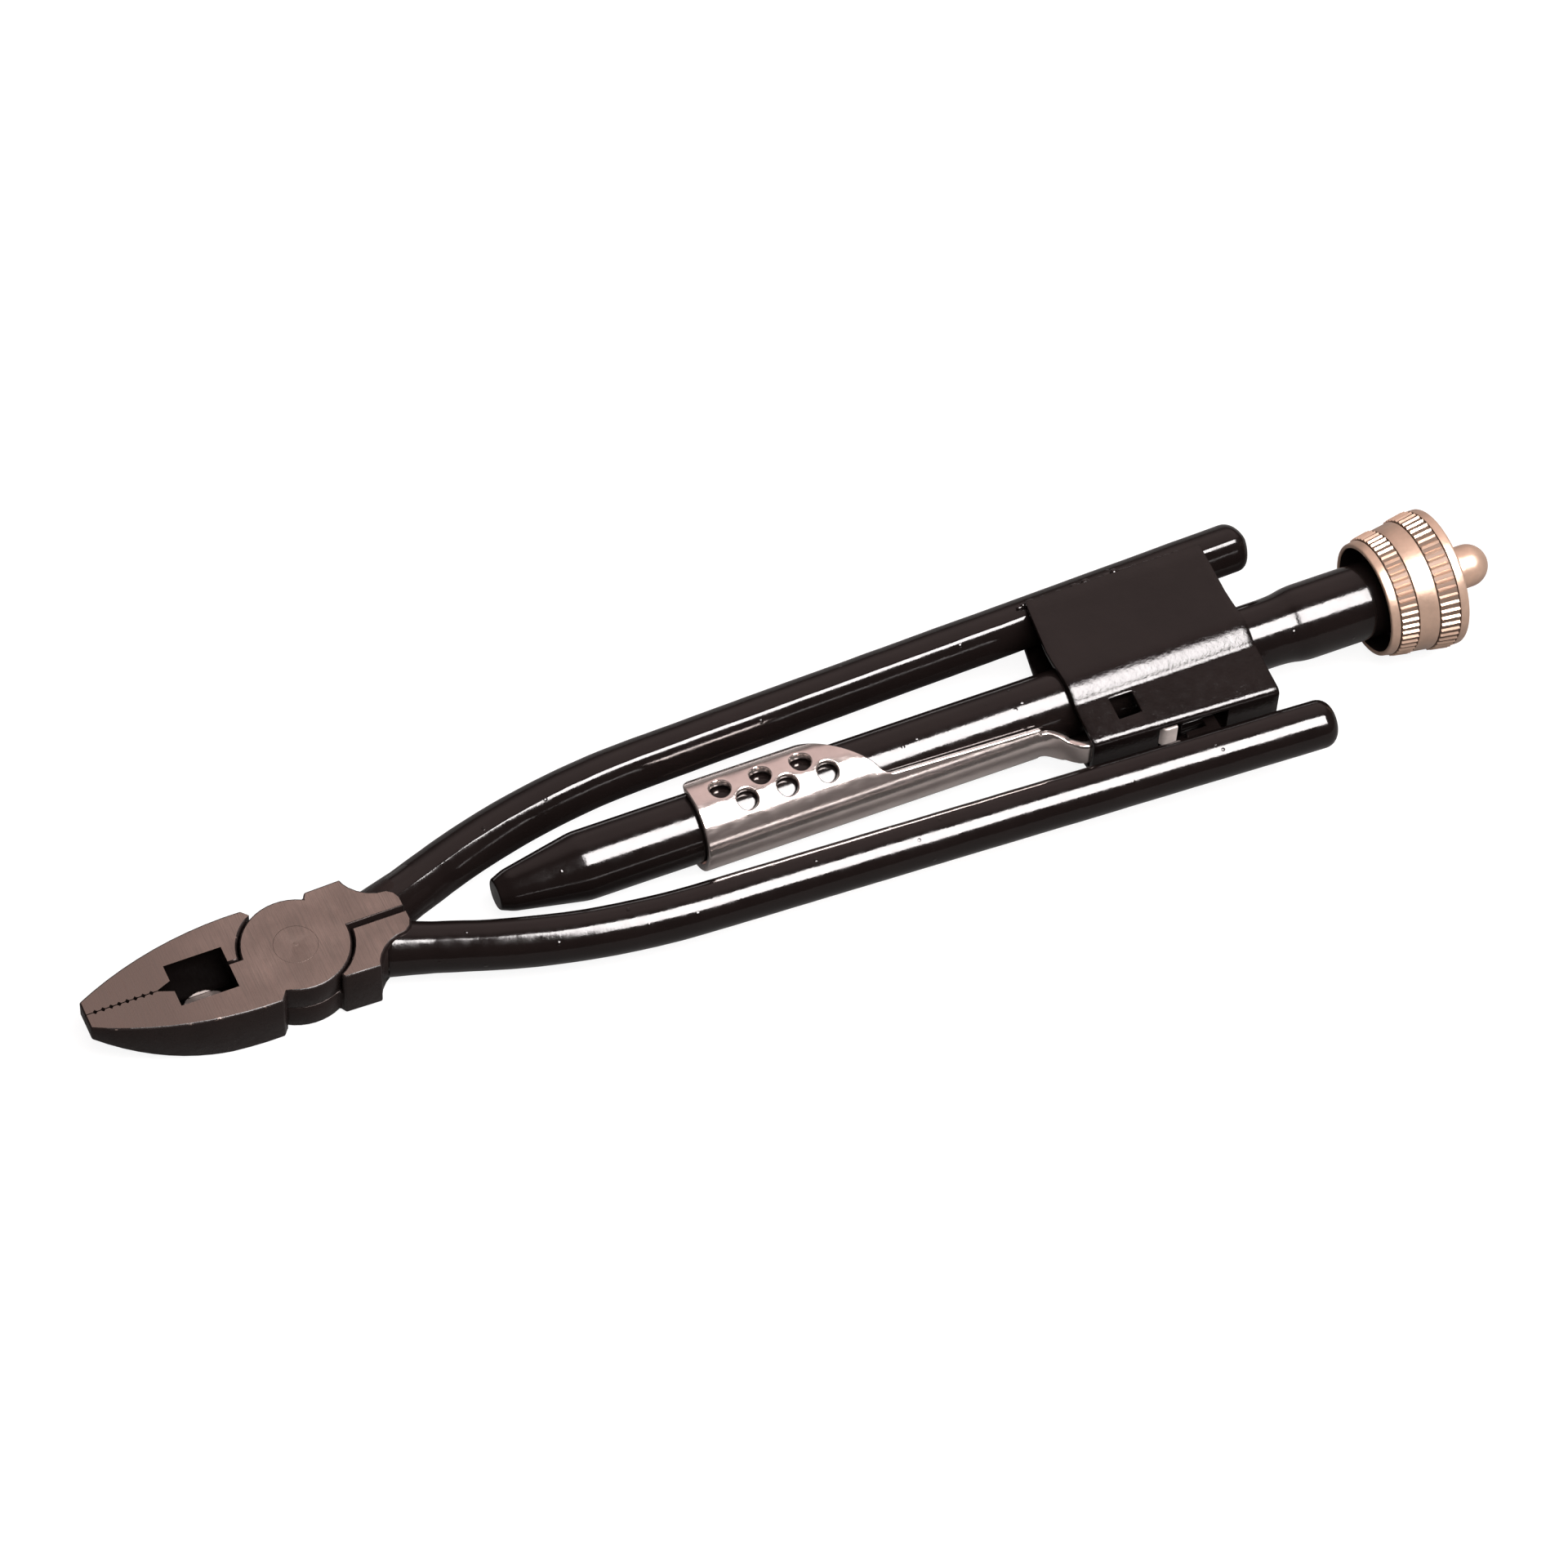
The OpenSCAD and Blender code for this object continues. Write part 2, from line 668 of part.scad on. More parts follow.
// Radius of the knob's taper at a distance from its front edge
function knob_r(at) = (knob_front_d + (knob_rear_d - knob_front_d) * at / knob_bands[3]) / 2;

module knob_shell() {
    front = knob_bands[0];
    mid_a = knob_bands[1];
    mid_b = knob_bands[2];
    rear = knob_bands[3];
    color(warm_nickel) at_mid() along_barrel(knob_x) difference() {
        union() {
            rotate_extrude($fn = 96)
                polygon([[0, 0], [knob_r(0) - 0.3, 0], [knob_r(0), 0.3], [knob_r(front), front],
                    [knob_r(front) - knurl_depth, front], [knob_r(mid_a) - knurl_depth, mid_a],
                    [knob_r(mid_a), mid_a], [knob_r(mid_b), mid_b], [knob_r(mid_b) - knurl_depth, mid_b],
                    [knob_r(rear) - knurl_depth, rear], [knob_r(rear), rear],
                    [knob_r(rear), knob_len - rim_r], [knob_r(rear) - rim_r, knob_len], [0, knob_len]]);
            knurl_band(front, mid_a, knob_r((front + mid_a) / 2) + knurl_depth / 2);
            knurl_band(mid_b, rear, knob_r((mid_b + rear) / 2) + knurl_depth / 2);
        }
        translate([0, 0, -through]) cylinder(d = cup_d, h = wall_front + through);
        translate([0, 0, wall_rear]) cylinder(r = cavity_r, h = knob_len);
        translate([0, 0, cap_x]) cylinder(r = cap_r, h = knob_len);
        cylinder(r = bush_r, h = knob_len);
        for (turn = [0, 180])
            rotate([0, 0, turn]) translate([pawl_pivot_r, 0, wall_rear - 1])
                cylinder(r = pawl_pin_r + fit / 2, h = 2);
    }
}

module knob_cap() {
    color(warm_nickel) at_mid() along_barrel(knob_x + cap_x)
        ring(cap_r - fit, pin_r + fit, knob_len - cap_x);
}

module knob_bush() {
    color(bronze) at_mid() along_barrel(knob_x + wall_front)
        ring(bush_r - fit / 2, shank_r + fit, wall_rear - wall_front);
}

// Places a shape at each of the two pawls
module at_pawls() {
    at_mid() along_barrel(knob_x) for (turn = [0, 180]) rotate([0, 0, turn]) children();
}

module pawl_pins() {
    color(steel) at_pawls() translate([pawl_pivot_r, 0, wall_rear - 1])
        cylinder(r = pawl_pin_r, h = ratchet_x + ratchet_t - wall_rear + 1.6);
}

module pawls() {
    color(steel) at_pawls() translate([0, 0, ratchet_x]) difference() {
        union() {
            linear_extrude(height = ratchet_t) polygon(pawl_outline);
            translate([pawl_pivot_r, 0, 0]) cylinder(r = pawl_boss_r, h = ratchet_t);
        }
        translate([pawl_pivot_r, 0, -through])
            cylinder(r = pawl_pin_r + fit / 2, h = ratchet_t + 2 * through);
    }
}

module pawl_springs() {
    color(nickel) at_pawls() rotate([0, 0, spring_start]) translate([0, 0, ratchet_x])
        rotate_extrude(angle = spring_sweep)
            translate([cavity_r - 0.1 - spring_t, 0]) square([spring_t, ratchet_t]);
}

module selector_pin() {
    color(warm_nickel) at_mid() along_barrel(pin_inner_x) {
        cylinder(r = pin_flange_r, h = pin_flange_t);
        cylinder(r = pin_r, h = pin_end_x - pin_r - pin_inner_x);
        translate([0, 0, pin_end_x - pin_r - pin_inner_x]) sphere(r = pin_r);
    }
}

frame_lever();
swing_lever();
pivot_rivet();
latch_housing();
barrel_tube();
drive_nut();
nut_clip();
catch_plate();
lock_slide();
thrust_washer();
twist_rod();
rod_stop();
ratchet_wheel();
rod_clip();
knob_shell();
knob_cap();
knob_bush();
pawl_pins();
pawls();
pawl_springs();
selector_pin();
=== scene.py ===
"""Safety wire pliers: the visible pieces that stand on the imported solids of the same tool."""
from math import acos, atan2, cos, hypot, pi, radians, sin, tan

import bmesh
import bpy
from mathutils import Matrix, Vector, noise


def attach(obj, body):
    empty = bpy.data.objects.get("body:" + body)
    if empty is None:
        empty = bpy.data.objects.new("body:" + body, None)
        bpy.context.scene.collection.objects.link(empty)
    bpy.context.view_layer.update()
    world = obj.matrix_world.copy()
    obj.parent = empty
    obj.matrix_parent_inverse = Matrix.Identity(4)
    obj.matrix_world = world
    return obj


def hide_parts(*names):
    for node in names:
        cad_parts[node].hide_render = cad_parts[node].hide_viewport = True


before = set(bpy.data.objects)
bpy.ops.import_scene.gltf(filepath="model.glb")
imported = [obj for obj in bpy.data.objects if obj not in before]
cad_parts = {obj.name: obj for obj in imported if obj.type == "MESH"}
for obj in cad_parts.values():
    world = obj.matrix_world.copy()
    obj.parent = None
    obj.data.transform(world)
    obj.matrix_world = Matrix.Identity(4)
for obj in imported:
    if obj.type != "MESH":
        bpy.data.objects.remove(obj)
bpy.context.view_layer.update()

bl_info = {
    "name": "Safety wire pliers",
    "version": (1, 0, 0),
    "blender": (4, 5, 0),
    "location": "View3D > Sidebar > Pliers",
    "description": "Builds the visible pieces, finishes and stage of a pair of lock-wire twisting pliers",
    "category": "Object",
}

# All shapes are drawn in millimetres and scaled to metres when they become a piece
MM = 0.001
# Height of the barrel's axis above the underside of the head
AXIS_Z = 5.5
HEAD_T = 11.0
# Middle part of a noise's values, from which most finishes take their range
NOISE_MIDDLE = (0.3, 0.7)

# Path of the handles: straight root, bend, straight grip; the near one, on -Y, spreads further
ROOT = Vector((20.0, 5.05))
ROOT_ANGLE = radians(20)
ROOT_LEN = 11.2
BEND_R = 140.0
FAR, NEAR = 1, -1
GRIP_ANGLE = {FAR: radians(1.8), NEAR: radians(2.7)}
HANDLE_X = {FAR: 200.1, NEAR: 196.5}
HANDLE_END_R = 2.8
# The swept rod starts inside the head and covers the forged root, which ends further out
ROOT_START = -5.0
ROOT_CUT = 6.5
# Ends along X of the slit between the two roots and of the head's own finishes
SLIT_END_X = 32
HEAD_END_X = 20.7
# Half width of the slit between the two roots, just inside its walls
SLIT_HALF = 0.52
# The near handle's pressed flat, beside the housing's wall
FLAT_RANGE = (150.5, 193.3)
FLAT_DEPTH = 0.8
# How far the far handle's section is drawn out to ridges, how many, and the angle of one
RIDGE = 0.24
RIDGES = 4
RIDGE_ANGLE = radians(112)

# Cutter window: ends along X, half its width
WINDOW_X = (-26.4, -12.2)
WINDOW_HALF = 4.75
# Ground half-moon in the window, painted pale as its highlight: middle and half size along X and Y
MOON_AT = (-18.3, -2.2)
MOON_HALF = (3.7, 2.7)
# Other edges of the head that stay square: rivet hole, jaw line, and the jaw's heel
HOLE_RIM_R = 4.4
JAW_LINE_HALF = 0.9
HEEL_X = -5.3
# A lever's finishes in the order of its material slots
GROUND, OXIDE, WORN, PAINT, CUTTER_SHADE = range(5)
# Share of Z in the normal of a flat, and of the worn edges round it
FLAT_SLANT, WORN_SLANT = 0.97, 0.2

# Barrel: nose, tube, bell with its bore and seat, and the groove for the clip
NOSE_X = (38.3, 40.8, 43.3)
NOSE_R = (2.9, 3.9, 2.7)
TUBE_X = (54.8, 197)
TUBE_R, TUBE_BORE = 6.5, 5.3
BELL_X = (200.4, 218.4)
BELL_R, BELL_BORE = 7.25, 6.05
SEAT_X = 203.9
CLIP_X = (214.02, 214.98)

# Lock slide
SLIDE_X = 76.9
SLIDE_MID_R = 7.6
SLIDE_T = 1.4
SLOPE_END = SLIDE_X + 35.3
SLOPE_LEN = 12.0
SLOPE_LOW_Y = -4.8
SLOPE_BOW = 1.15
# Edge between the slope and the arm, as (distance behind the slope, y)
SLOPE_FOOT = ((0.4, -5.12), (0.9, -5.4), (1.5, -5.62), (2.1, -5.75))
SLEEVE_TOP_Y = 6.4
SLEEVE_CORNER = 3.0
ARM_X = SLIDE_X + 67.0
ARM_Y = -6.45
NECK_HALF = 2.6
TAIL_X = SLIDE_X + 86.0
TAB_LEN = 5.5
TAB_TOP = 2.4
TAIL_BEND_X = ARM_X + 0.2
TAIL_BEND_LEN = 7.3
# The neck behind the arm's square end: drop of its edge, and where it narrows to the tail
NECK_STEP = 0.9
NECK_X = (ARM_X + 1.2, ARM_X + 4.2)
TAIL_SWING = 4.6
# The tail's end steps out through the housing's slot
STEP_X = (164.8, 166.3)
STEP_OUT = 2.2
STEP_THIN = 0.71
# Distance of the lines along the blank where it may bend, and how far they keep off its middle line
FOLD_PITCH, FOLD_OFF = 0.6, 0.013
FINGER_HOLES = [(96, SLIDE_X + 5.7), (69, SLIDE_X + 9.6)]
FINGER_PITCH = 8.0

# Housing: its front and rear edges by the wall, and how its sections are bent
HOUSING_X = (151.3, 188.7)
HOUSING_T = 1.2
WALL_ANGLE = radians(2.8)
CROWN_R = 7.9
PLATE_EDGE = Vector((20.3, 5.75))
CREASE = radians(42)
CORNER = Vector((-12.8, 3.2))
CORNER_R = 1.4
SLANT_Y = 6.0
FRONT_SLANT, REAR_SLANT = 2.3, 1.4
SLOT_X = (164.6, 178.4)
LANCE_X = (158.0, 162.6)
LANCE_Y = (-6.3, -10.8)
# Weld rows on the far handle: ends, and their height above and below the axis
WELD_ENDS = ((152.5, 20.4), (187.5, 20.6))
WELD_RISE = 4.75

# Twisted rod: its square part, its turned nose and shank, and the clip's groove in the shank
ROD_X = 65.0
ROD_END_X = 219.0
ROD_WIDTH, ROD_CORNER = 5.0, 0.35
ROD_NOSE_X, ROD_NOSE_R = 60.8, 2.0
SHANK_X = (218.8, 225.8)
SHANK_R = 3.0
GROOVE_X, GROOVE_R = (224.6, 225.4), 2.6
TURNED_EDGE = 0.2

# Knob, measured from its front edge: its four band lines, inner steps and the pin's end
KNOB_X = 215.3
KNOB_LEN = 15.3
KNOB_BANDS = (1.7, 5.4, 9.3, 13.4)
KNOB_FRONT_R = 11.0
KNOB_REAR_R = 13.2
CUP_R = 10.2
CUP_DEPTH = 5.1
HUB_R = 4.2
CAVITY_R = 9.6
PLATE_R = 10.8
RIB_GROOVE, RIB_MARGIN = 0.32, 0.22
CAVITY_X = 6.7
CAP_X = 13.8
PIN_R = 4.1
PIN_END = KNOB_LEN + 10.6

# Camera, in metres; its turn is azimuth, elevation and roll in degrees
CAMERA_AT = (-0.202864, -0.575367, 0.866169)
CAMERA_TURN = (-27.385, 52.896, 3.754)
# The floor touches the head and the knob: it falls by a height over a length, in mm
FLOOR_FALL = (7.7, 243)
# Directions from the tool to the soft box, to its face in mirrored images and to the brightest sky
STRIP_FROM = (0.28, -0.36, 0.89)
CARD_FROM = (0.165, -0.36, 0.92)
SKY_FROM = (0.31, 0.684, 0.66)


# ---- properties ----


def in_mm(name, description, default, low, high):
    return bpy.props.FloatProperty(name=name, description=description + ", in mm", default=default, min=low, max=high)


def colour_of(name, description, *default):
    return bpy.props.FloatVectorProperty(name=name, description=description, subtype="COLOR", size=3,
                                         default=default, min=0, max=1)


def amount(name, description, default, unit="NONE"):
    return bpy.props.FloatProperty(name=name, description=description, default=default, unit=unit)


class PliersSizes(bpy.types.PropertyGroup):
    """Sizes of the visible details, in millimetres."""

    rod_diameter: in_mm("Handle diameter", "Diameter of the painted handle rods", 9.2, 8.0, 9.5)
    paint_wave: in_mm("Paint unevenness", "How far the thick paint swells and sinks on the rods", 0.05, 0.0, 0.2)
    edge_round: in_mm("Edge rounding", "Rounding of the forged head's edges", 0.3, 0.05, 0.6)
    hole_diameter: in_mm("Finger hole", "Diameter of the holes in the lock slide", 4.0, 3.0, 5.0)
    rib_count: bpy.props.IntProperty(
        name="Knob ribs", description="Ribs round each knurled band of the knob", default=54, min=36, max=72)
    rib_depth: in_mm("Rib depth", "Height of the knob's ribs", 0.32, 0.1, 0.6)
    twist_lead: in_mm("Twist lead", "Length of one turn of the twisted rod", 40.0, 30.0, 60.0)


class PliersFinish(bpy.types.PropertyGroup):
    """Colours of the finishes."""

    paint: colour_of("Paint", "Gloss black paint", 0.009, 0.0062, 0.0058)
    ground_steel: colour_of("Ground steel", "Flats of the head", 0.285, 0.215, 0.188)
    nickel: colour_of("Bright nickel", "Lock slide", 0.88, 0.78, 0.74)
    warm_nickel: colour_of("Warm nickel", "Knob and pin", 0.64, 0.445, 0.34)
    bronze: colour_of("Bronze", "Nut, bush and washer", 0.60, 0.40, 0.20)
    inner_steel: colour_of("Inner steel", "Twisted rod and ratchet", 0.50, 0.47, 0.45)


class PliersStage(bpy.types.PropertyGroup):
    """Light, floor and camera."""

    lens: amount("Lens", "Focal length on a 36 mm sensor", 135.57, "CAMERA")
    strip_power: amount("Strip light", "Power of the long soft box overhead", 26.0, "POWER")
    sky: amount("Sky", "Brightness of the sky behind the tool", 0.66)
    floor_grey: amount("Floor grey", "Grey of the floor's own surface", 0.20)
    floor_glow: amount("Floor glow", "How far the floor is lifted to white for the camera", 0.90)
    mirror_glow: amount("Mirrored glow", "The same for the floor's image in metal and paint", 0.05)
    card: amount("Card", "Brightness of the soft box's face in mirrored images", 38.0)


def sizes():
    return bpy.context.scene.pliers_sizes


def finish():
    return bpy.context.scene.pliers_finish


# ---- shader helpers ----


def wire(tree, kind, sockets, **props):
    """Adds a node; sockets maps an input's name or number to a value or to an output."""
    made = tree.nodes.new(kind)
    for key, value in props.items():
        setattr(made, key, value)
    for key, value in sockets.items():
        if isinstance(value, bpy.types.NodeSocket):
            tree.links.new(value, made.inputs[key])
        else:
            made.inputs[key].default_value = value
    return made.outputs


def rgba(tone, gain=1.0):
    return tuple(c * gain for c in tone) + (1.0,)


class Nodes:
    """What a material's and a geometry's node tree share."""

    def node(self, kind, sockets, **props):
        return wire(self.tree, "ShaderNode" + kind, sockets, **props)

    def math(self, operation, a, b):
        return self.node("Math", {0: a, 1: b}, operation=operation)[0]

    def parts(self, vector):
        return self.node("SeparateXYZ", {0: vector})


class Shader(Nodes):
    """A material's node tree with short calls for the nodes used here."""

    def __init__(self, name):
        self.material = bpy.data.materials.new(name)
        self.material.use_nodes = True
        self.tree = self.material.node_tree
        self.bsdf = self.tree.nodes["Principled BSDF"]
        self.coords = self.node("TexCoord", {})["Object"]

    def set(self, **sockets):
        for key, value in sockets.items():
            self.bsdf.inputs[key.replace("_", " ")].default_value = value

    def to(self, key, source):
        self.tree.links.new(source, self.bsdf.inputs[key])

    def stretched(self, scale):
        """Object coordinates in millimetres, stretched per axis."""
        return self.node("Mapping", {"Vector": self.coords, "Scale": [s / MM for s in scale]})["Vector"]

    def noise(self, scale, detail=2.0, stretch=(1, 1, 1), rough=0.5, distortion=0.0):
        """Noise whose features repeat about every 1/scale millimetres."""
        return self.node("TexNoise", {"Scale": scale, "Detail": detail, "Roughness": rough,
                                      "Distortion": distortion, "Vector": self.stretched(stretch)})["Fac"]

    def specks(self, scale, size):
        """Round specks on a jittered grid, 1 inside a speck and 0 outside."""
        cells = self.node("TexVoronoi", {"Scale": scale, "Vector": self.stretched((1, 1, 1))})
        return self.remap(cells["Distance"], size, size * 0.4)

    def remap(self, source, low, high, to_low=0.0, to_high=1.0):
        return self.node("MapRange", {"Value": source, "From Min": low, "From Max": high,
                                      "To Min": to_low, "To Max": to_high})["Result"]

    def blend(self, factor, low, high):
        # Sockets 6 and 7 of a Mix node are its two colours, and output 2 is the mixed colour
        return self.node("Mix", {"Factor": factor, 6: low, 7: high}, data_type="RGBA")[2]

    def bump(self, height, depth, normal=None):
        """Bump of a height field whose full range stands for a depth in millimetres."""
        under = {} if normal is None else {"Normal": normal}
        return self.node("Bump", {"Strength": 1.0, "Distance": depth * MM, "Height": height, **under})["Normal"]

    def axis(self, index):
        return self.parts(self.stretched((1, 1, 1)))[index]

    def tint(self, factor, tone, low, high):
        """Base colour that wanders between two gains of one tone."""
        self.to("Base Color", self.blend(factor, rgba(tone, low), rgba(tone, high)))

    def rough(self, source, low, high):
        """Roughness that follows the middle part of a noise."""
        self.to("Roughness", self.remap(source, *NOISE_MIDDLE, low, high))

    def relief(self, coarse, fine):
        """Fine bump on top of a coarse one, each as (height, depth)."""
        self.to("Normal", self.bump(*fine, self.bump(*coarse)))


def cached(maker):
    """Makes each finish once, under a name that the CAD's own material slots do not use."""
    def get():
        name = "look_" + maker.__name__
        if name not in bpy.data.materials:
            maker(Shader(name), finish())
        return bpy.data.materials[name]
    return get


# ---- finishes ----


@cached
def gloss_paint(s, tones):
    """Thick gloss black paint with runs, orange peel and a few dust specks."""
    s.set(Metallic=0.0, IOR=1.4)
    s.tint(s.noise(0.09, 3.0), tones.paint, 0.7, 1.4)
    s.rough(s.noise(0.5, 3.0), 0.08, 0.17)
    runs = s.bump(s.noise(0.10, 1.0, (0.5, 1, 1), distortion=0.4), 0.09)
    peel = s.bump(s.noise(0.9, 3.0, rough=0.6), 0.018, runs)
    dust = s.math("MULTIPLY", s.specks(0.22, 0.10), s.noise(0.05, 1.0))
    s.to("Normal", s.bump(dust, 0.14, peel))


@cached
def housing_paint(s, tones):
    """The same paint on sheet steel, where it dried with a coarser, grainy skin."""
    s.set(Metallic=0.0, IOR=1.4)
    s.tint(s.noise(0.12, 3.0), tones.paint, 0.6, 1.4)
    s.rough(s.noise(0.6, 3.0), 0.08, 0.17)
    s.relief((s.noise(0.2, 2.0), 0.08), (s.noise(1.3, 4.0, rough=0.65), 0.06))


@cached
def head_black(s, tones):
    """Satin black oxide of the head's forged sides."""
    s.set(Metallic=0.0, Specular_IOR_Level=0.18, Specular_Tint=(1.0, 0.86, 0.82, 1))
    s.tint(s.noise(0.25, 4.0), tones.paint, 1.1, 2.4)
    s.rough(s.noise(0.8, 3.0), 0.26, 0.42)
    s.relief((s.noise(0.25, 2.0), 0.12), (s.noise(1.6, 4.0, rough=0.6), 0.03))


@cached
def ground_flat(s, tones):
    """Brown-grey ground steel with fine lines across the tool, stains, and a darker jaw."""
    steel = tones.ground_steel
    s.set(Metallic=0.85)
    lines = s.noise(1.0, 4.0, (4.0, 0.12, 1.0), rough=0.65)
    stains = s.remap(s.noise(0.12, 4.0, rough=0.6), *NOISE_MIDDLE)
    base = s.blend(stains, rgba(steel, 0.76), rgba(steel, 1.14))
    base = s.blend(s.remap(s.axis(0), -6.0, -26.0), base, rgba(steel, 0.68))
    s.to("Base Color", s.blend(s.remap(lines, 0.40, 0.66, 0.0, 0.8), base, rgba(steel, 0.42)))
    s.rough(lines, 0.30, 0.46)
    s.relief((s.noise(0.1, 1.0), 0.05), (lines, 0.02))


@cached
def worn_edge(s, tones):
    """Edge of a flat where the black is rubbed off in places down to bright steel."""
    rub = s.remap(s.noise(0.45, 4.0, rough=0.75), 0.60, 0.72, 0.0, 0.9)
    s.to("Base Color", s.blend(rub, rgba(tones.paint, 2.5), rgba(tones.ground_steel, 1.7)))
    s.to("Metallic", rub)
    s.set(Roughness=0.34, Specular_IOR_Level=0.3)
    s.to("Normal", s.bump(s.noise(1.5, 3.0), 0.04))


@cached
def cutter_pit_shade(s, tones):
    """Painted shade inside the cutter window, darker and duller than the oxide, with a ground half-moon on the near
    blade painted pale as its highlight.
    """
    spans = [s.math("DIVIDE", s.math("SUBTRACT", s.axis(i), MOON_AT[i]), MOON_HALF[i]) for i in (0, 1)]
    reach = s.math("ADD", *(s.math("POWER", span, 2.0) for span in spans))
    moon = s.remap(s.math("ADD", reach, s.math("MULTIPLY", s.noise(0.8, 3.0), 0.3)), 1.2, 1.1)
    # The window is painted shade; the half-moon is pale, mostly diffuse colour that stands in for its highlight.
    s.to("Base Color", s.blend(moon, rgba(tones.paint, 0.4), rgba(tones.nickel, 0.75)))
    s.to("Metallic", s.math("MULTIPLY", moon, 0.2))
    s.rough(s.noise(1.0, 3.0, (4, 1, 1)), 0.35, 0.5)
    s.set(Specular_IOR_Level=0.04)


@cached
def bright_nickel(s, tones):
    """Bright plate on spring steel, with a fine ragged grain and drawn streaks along the sleeve."""
    s.set(Metallic=0.9)
    s.tint(s.remap(s.noise(0.15, 4.0, rough=0.6), *NOISE_MIDDLE), tones.nickel, 0.86, 1.05)
    s.rough(s.noise(1.2, 4.0, (0.3, 1, 1)), 0.11, 0.21)
    s.relief((s.noise(0.22, 2.0, (0.35, 1, 1)), 0.05), (s.noise(2.6, 3.0, rough=0.65), 0.014))


@cached
def satin_nickel(s, tones):
    """Warm satin plate with a fine blasted grain."""
    s.set(Metallic=0.5, Specular_IOR_Level=0.2)
    s.tint(s.remap(s.noise(0.3, 4.0, rough=0.6), *NOISE_MIDDLE), tones.warm_nickel, 0.88, 1.08)
    s.rough(s.noise(1.5, 3.0), 0.30, 0.38)
    s.relief((s.noise(0.5, 2.0), 0.04), (s.noise(3.0, 3.0, rough=0.6), 0.016))


@cached
def rib_gap_shade(s, tones):
    """Painted shade in the grooves between the knob's ribs: the knob's plate at a third of its tone, dull."""
    s.set(Base_Color=rgba(tones.warm_nickel, 0.3), Metallic=0.3, Specular_IOR_Level=0.2, Roughness=0.5)


@cached
def sheared_nickel(s, tones):
    """Dull sheared face of the slide's tab."""
    s.set(Metallic=0.25)
    s.tint(s.noise(0.8, 3.0), tones.nickel, 0.8, 1.2)
    s.rough(s.noise(1.5, 3.0), 0.4, 0.6)
    s.to("Normal", s.bump(s.noise(2.0, 3.0), 0.02))


@cached
def cup_black(s, tones):
    """Black inside of the knob's cup."""
    s.tint(s.noise(0.4, 3.0), tones.paint, 0.6, 1.6)
    s.rough(s.noise(0.8, 2.0), 0.3, 0.5)


@cached
def weld_black(s, tones):
    """Painted weld metal, lumpy and glossy."""
    s.set(IOR=1.5)
    s.tint(s.noise(0.6, 3.0), tones.paint, 0.8, 2.5)
    s.rough(s.noise(1.0, 3.0), 0.08, 0.2)
    s.to("Normal", s.bump(s.noise(1.4, 3.0), 0.08))


def machined(s, tone, rough):
    """Turned metal with rings round the barrel's axis and a film of oil."""
    s.set(Metallic=1.0)
    rings = s.noise(1.0, 3.0, (3.0, 0.2, 0.2))
    s.tint(s.noise(0.3, 3.0), tone, 0.75, 1.1)
    s.rough(rings, rough * 0.8, rough * 1.3)
    s.to("Normal", s.bump(rings, 0.01))


@cached
def oiled_steel(s, tones):
    machined(s, tones.inner_steel, 0.25)


@cached
def turned_bronze(s, tones):
    machined(s, tones.bronze, 0.3)


# ---- mesh helpers ----


def heading(angle):
    return Vector((cos(angle), sin(angle)))


def quarter(steps):
    """Angles of a quarter turn, both ends among them."""
    return [pi / 2 * k / steps for k in range(steps + 1)]


def curved(a, corner, b, t):
    """Point of the soft bend from a to b that a corner pulls out."""
    return a * (1 - t) ** 2 + corner * 2 * t * (1 - t) + b * t * t


def add_object(name, data):
    made = bpy.data.objects.new(name, data)
    bpy.context.scene.collection.objects.link(made)
    return made


def face_out(bm):
    bmesh.ops.recalc_face_normals(bm, faces=bm.faces)


def resize(bm, factor):
    bmesh.ops.scale(bm, vec=(factor, factor, factor), verts=bm.verts)


def cut(bm, at, normal, **options):
    bmesh.ops.bisect_plane(bm, geom=bm.verts[:] + bm.edges[:] + bm.faces[:], plane_co=at, plane_no=normal, **options)


def to_mesh(bm, name):
    mesh = bpy.data.meshes.new(name)
    bm.to_mesh(mesh)
    bm.free()
    return mesh


def make_piece(name, bm, *ties, **shading):
    """Turns a millimetre mesh into a piece, as dress does with a mesh in metres."""
    resize(bm, MM)
    dress(name, to_mesh(bm, name), *ties, **shading)


def dress(name, mesh, materials, body, slot, nodes=(), sharp=42, crisp=None):
    """Makes a mesh a shaded piece that rides on a body and stands for CAD nodes.

    Edges over sharp degrees are shaded hard, and so are the rims of the crisp finish.
    """
    for material in materials:
        mesh.materials.append(material)
    mesh.polygons.foreach_set("use_smooth", [True] * len(mesh.polygons))
    mesh.set_sharp_from_angle(angle=radians(sharp))
    if crisp is not None:
        inner = [key for face in mesh.polygons if face.material_index == crisp for key in face.edge_keys]
        outer = {key for face in mesh.polygons if face.material_index != crisp for key in face.edge_keys}
        rims = outer.intersection(inner)
        for edge in mesh.edges:
            if edge.key in rims:
                edge.use_edge_sharp = True
    obj = add_object(name, mesh)
    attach(obj, body)
    if nodes:
        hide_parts(*nodes)


def node_copy(name):
    """A CAD node's mesh in millimetres, with its loose triangles merged into whole faces."""
    bm = bmesh.new()
    bm.from_mesh(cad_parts[name].data)
    resize(bm, 1 / MM)
    bmesh.ops.remove_doubles(bm, verts=bm.verts, dist=0.003)
    bmesh.ops.dissolve_limit(bm, angle_limit=radians(0.5), verts=bm.verts, edges=bm.edges)
    return bm


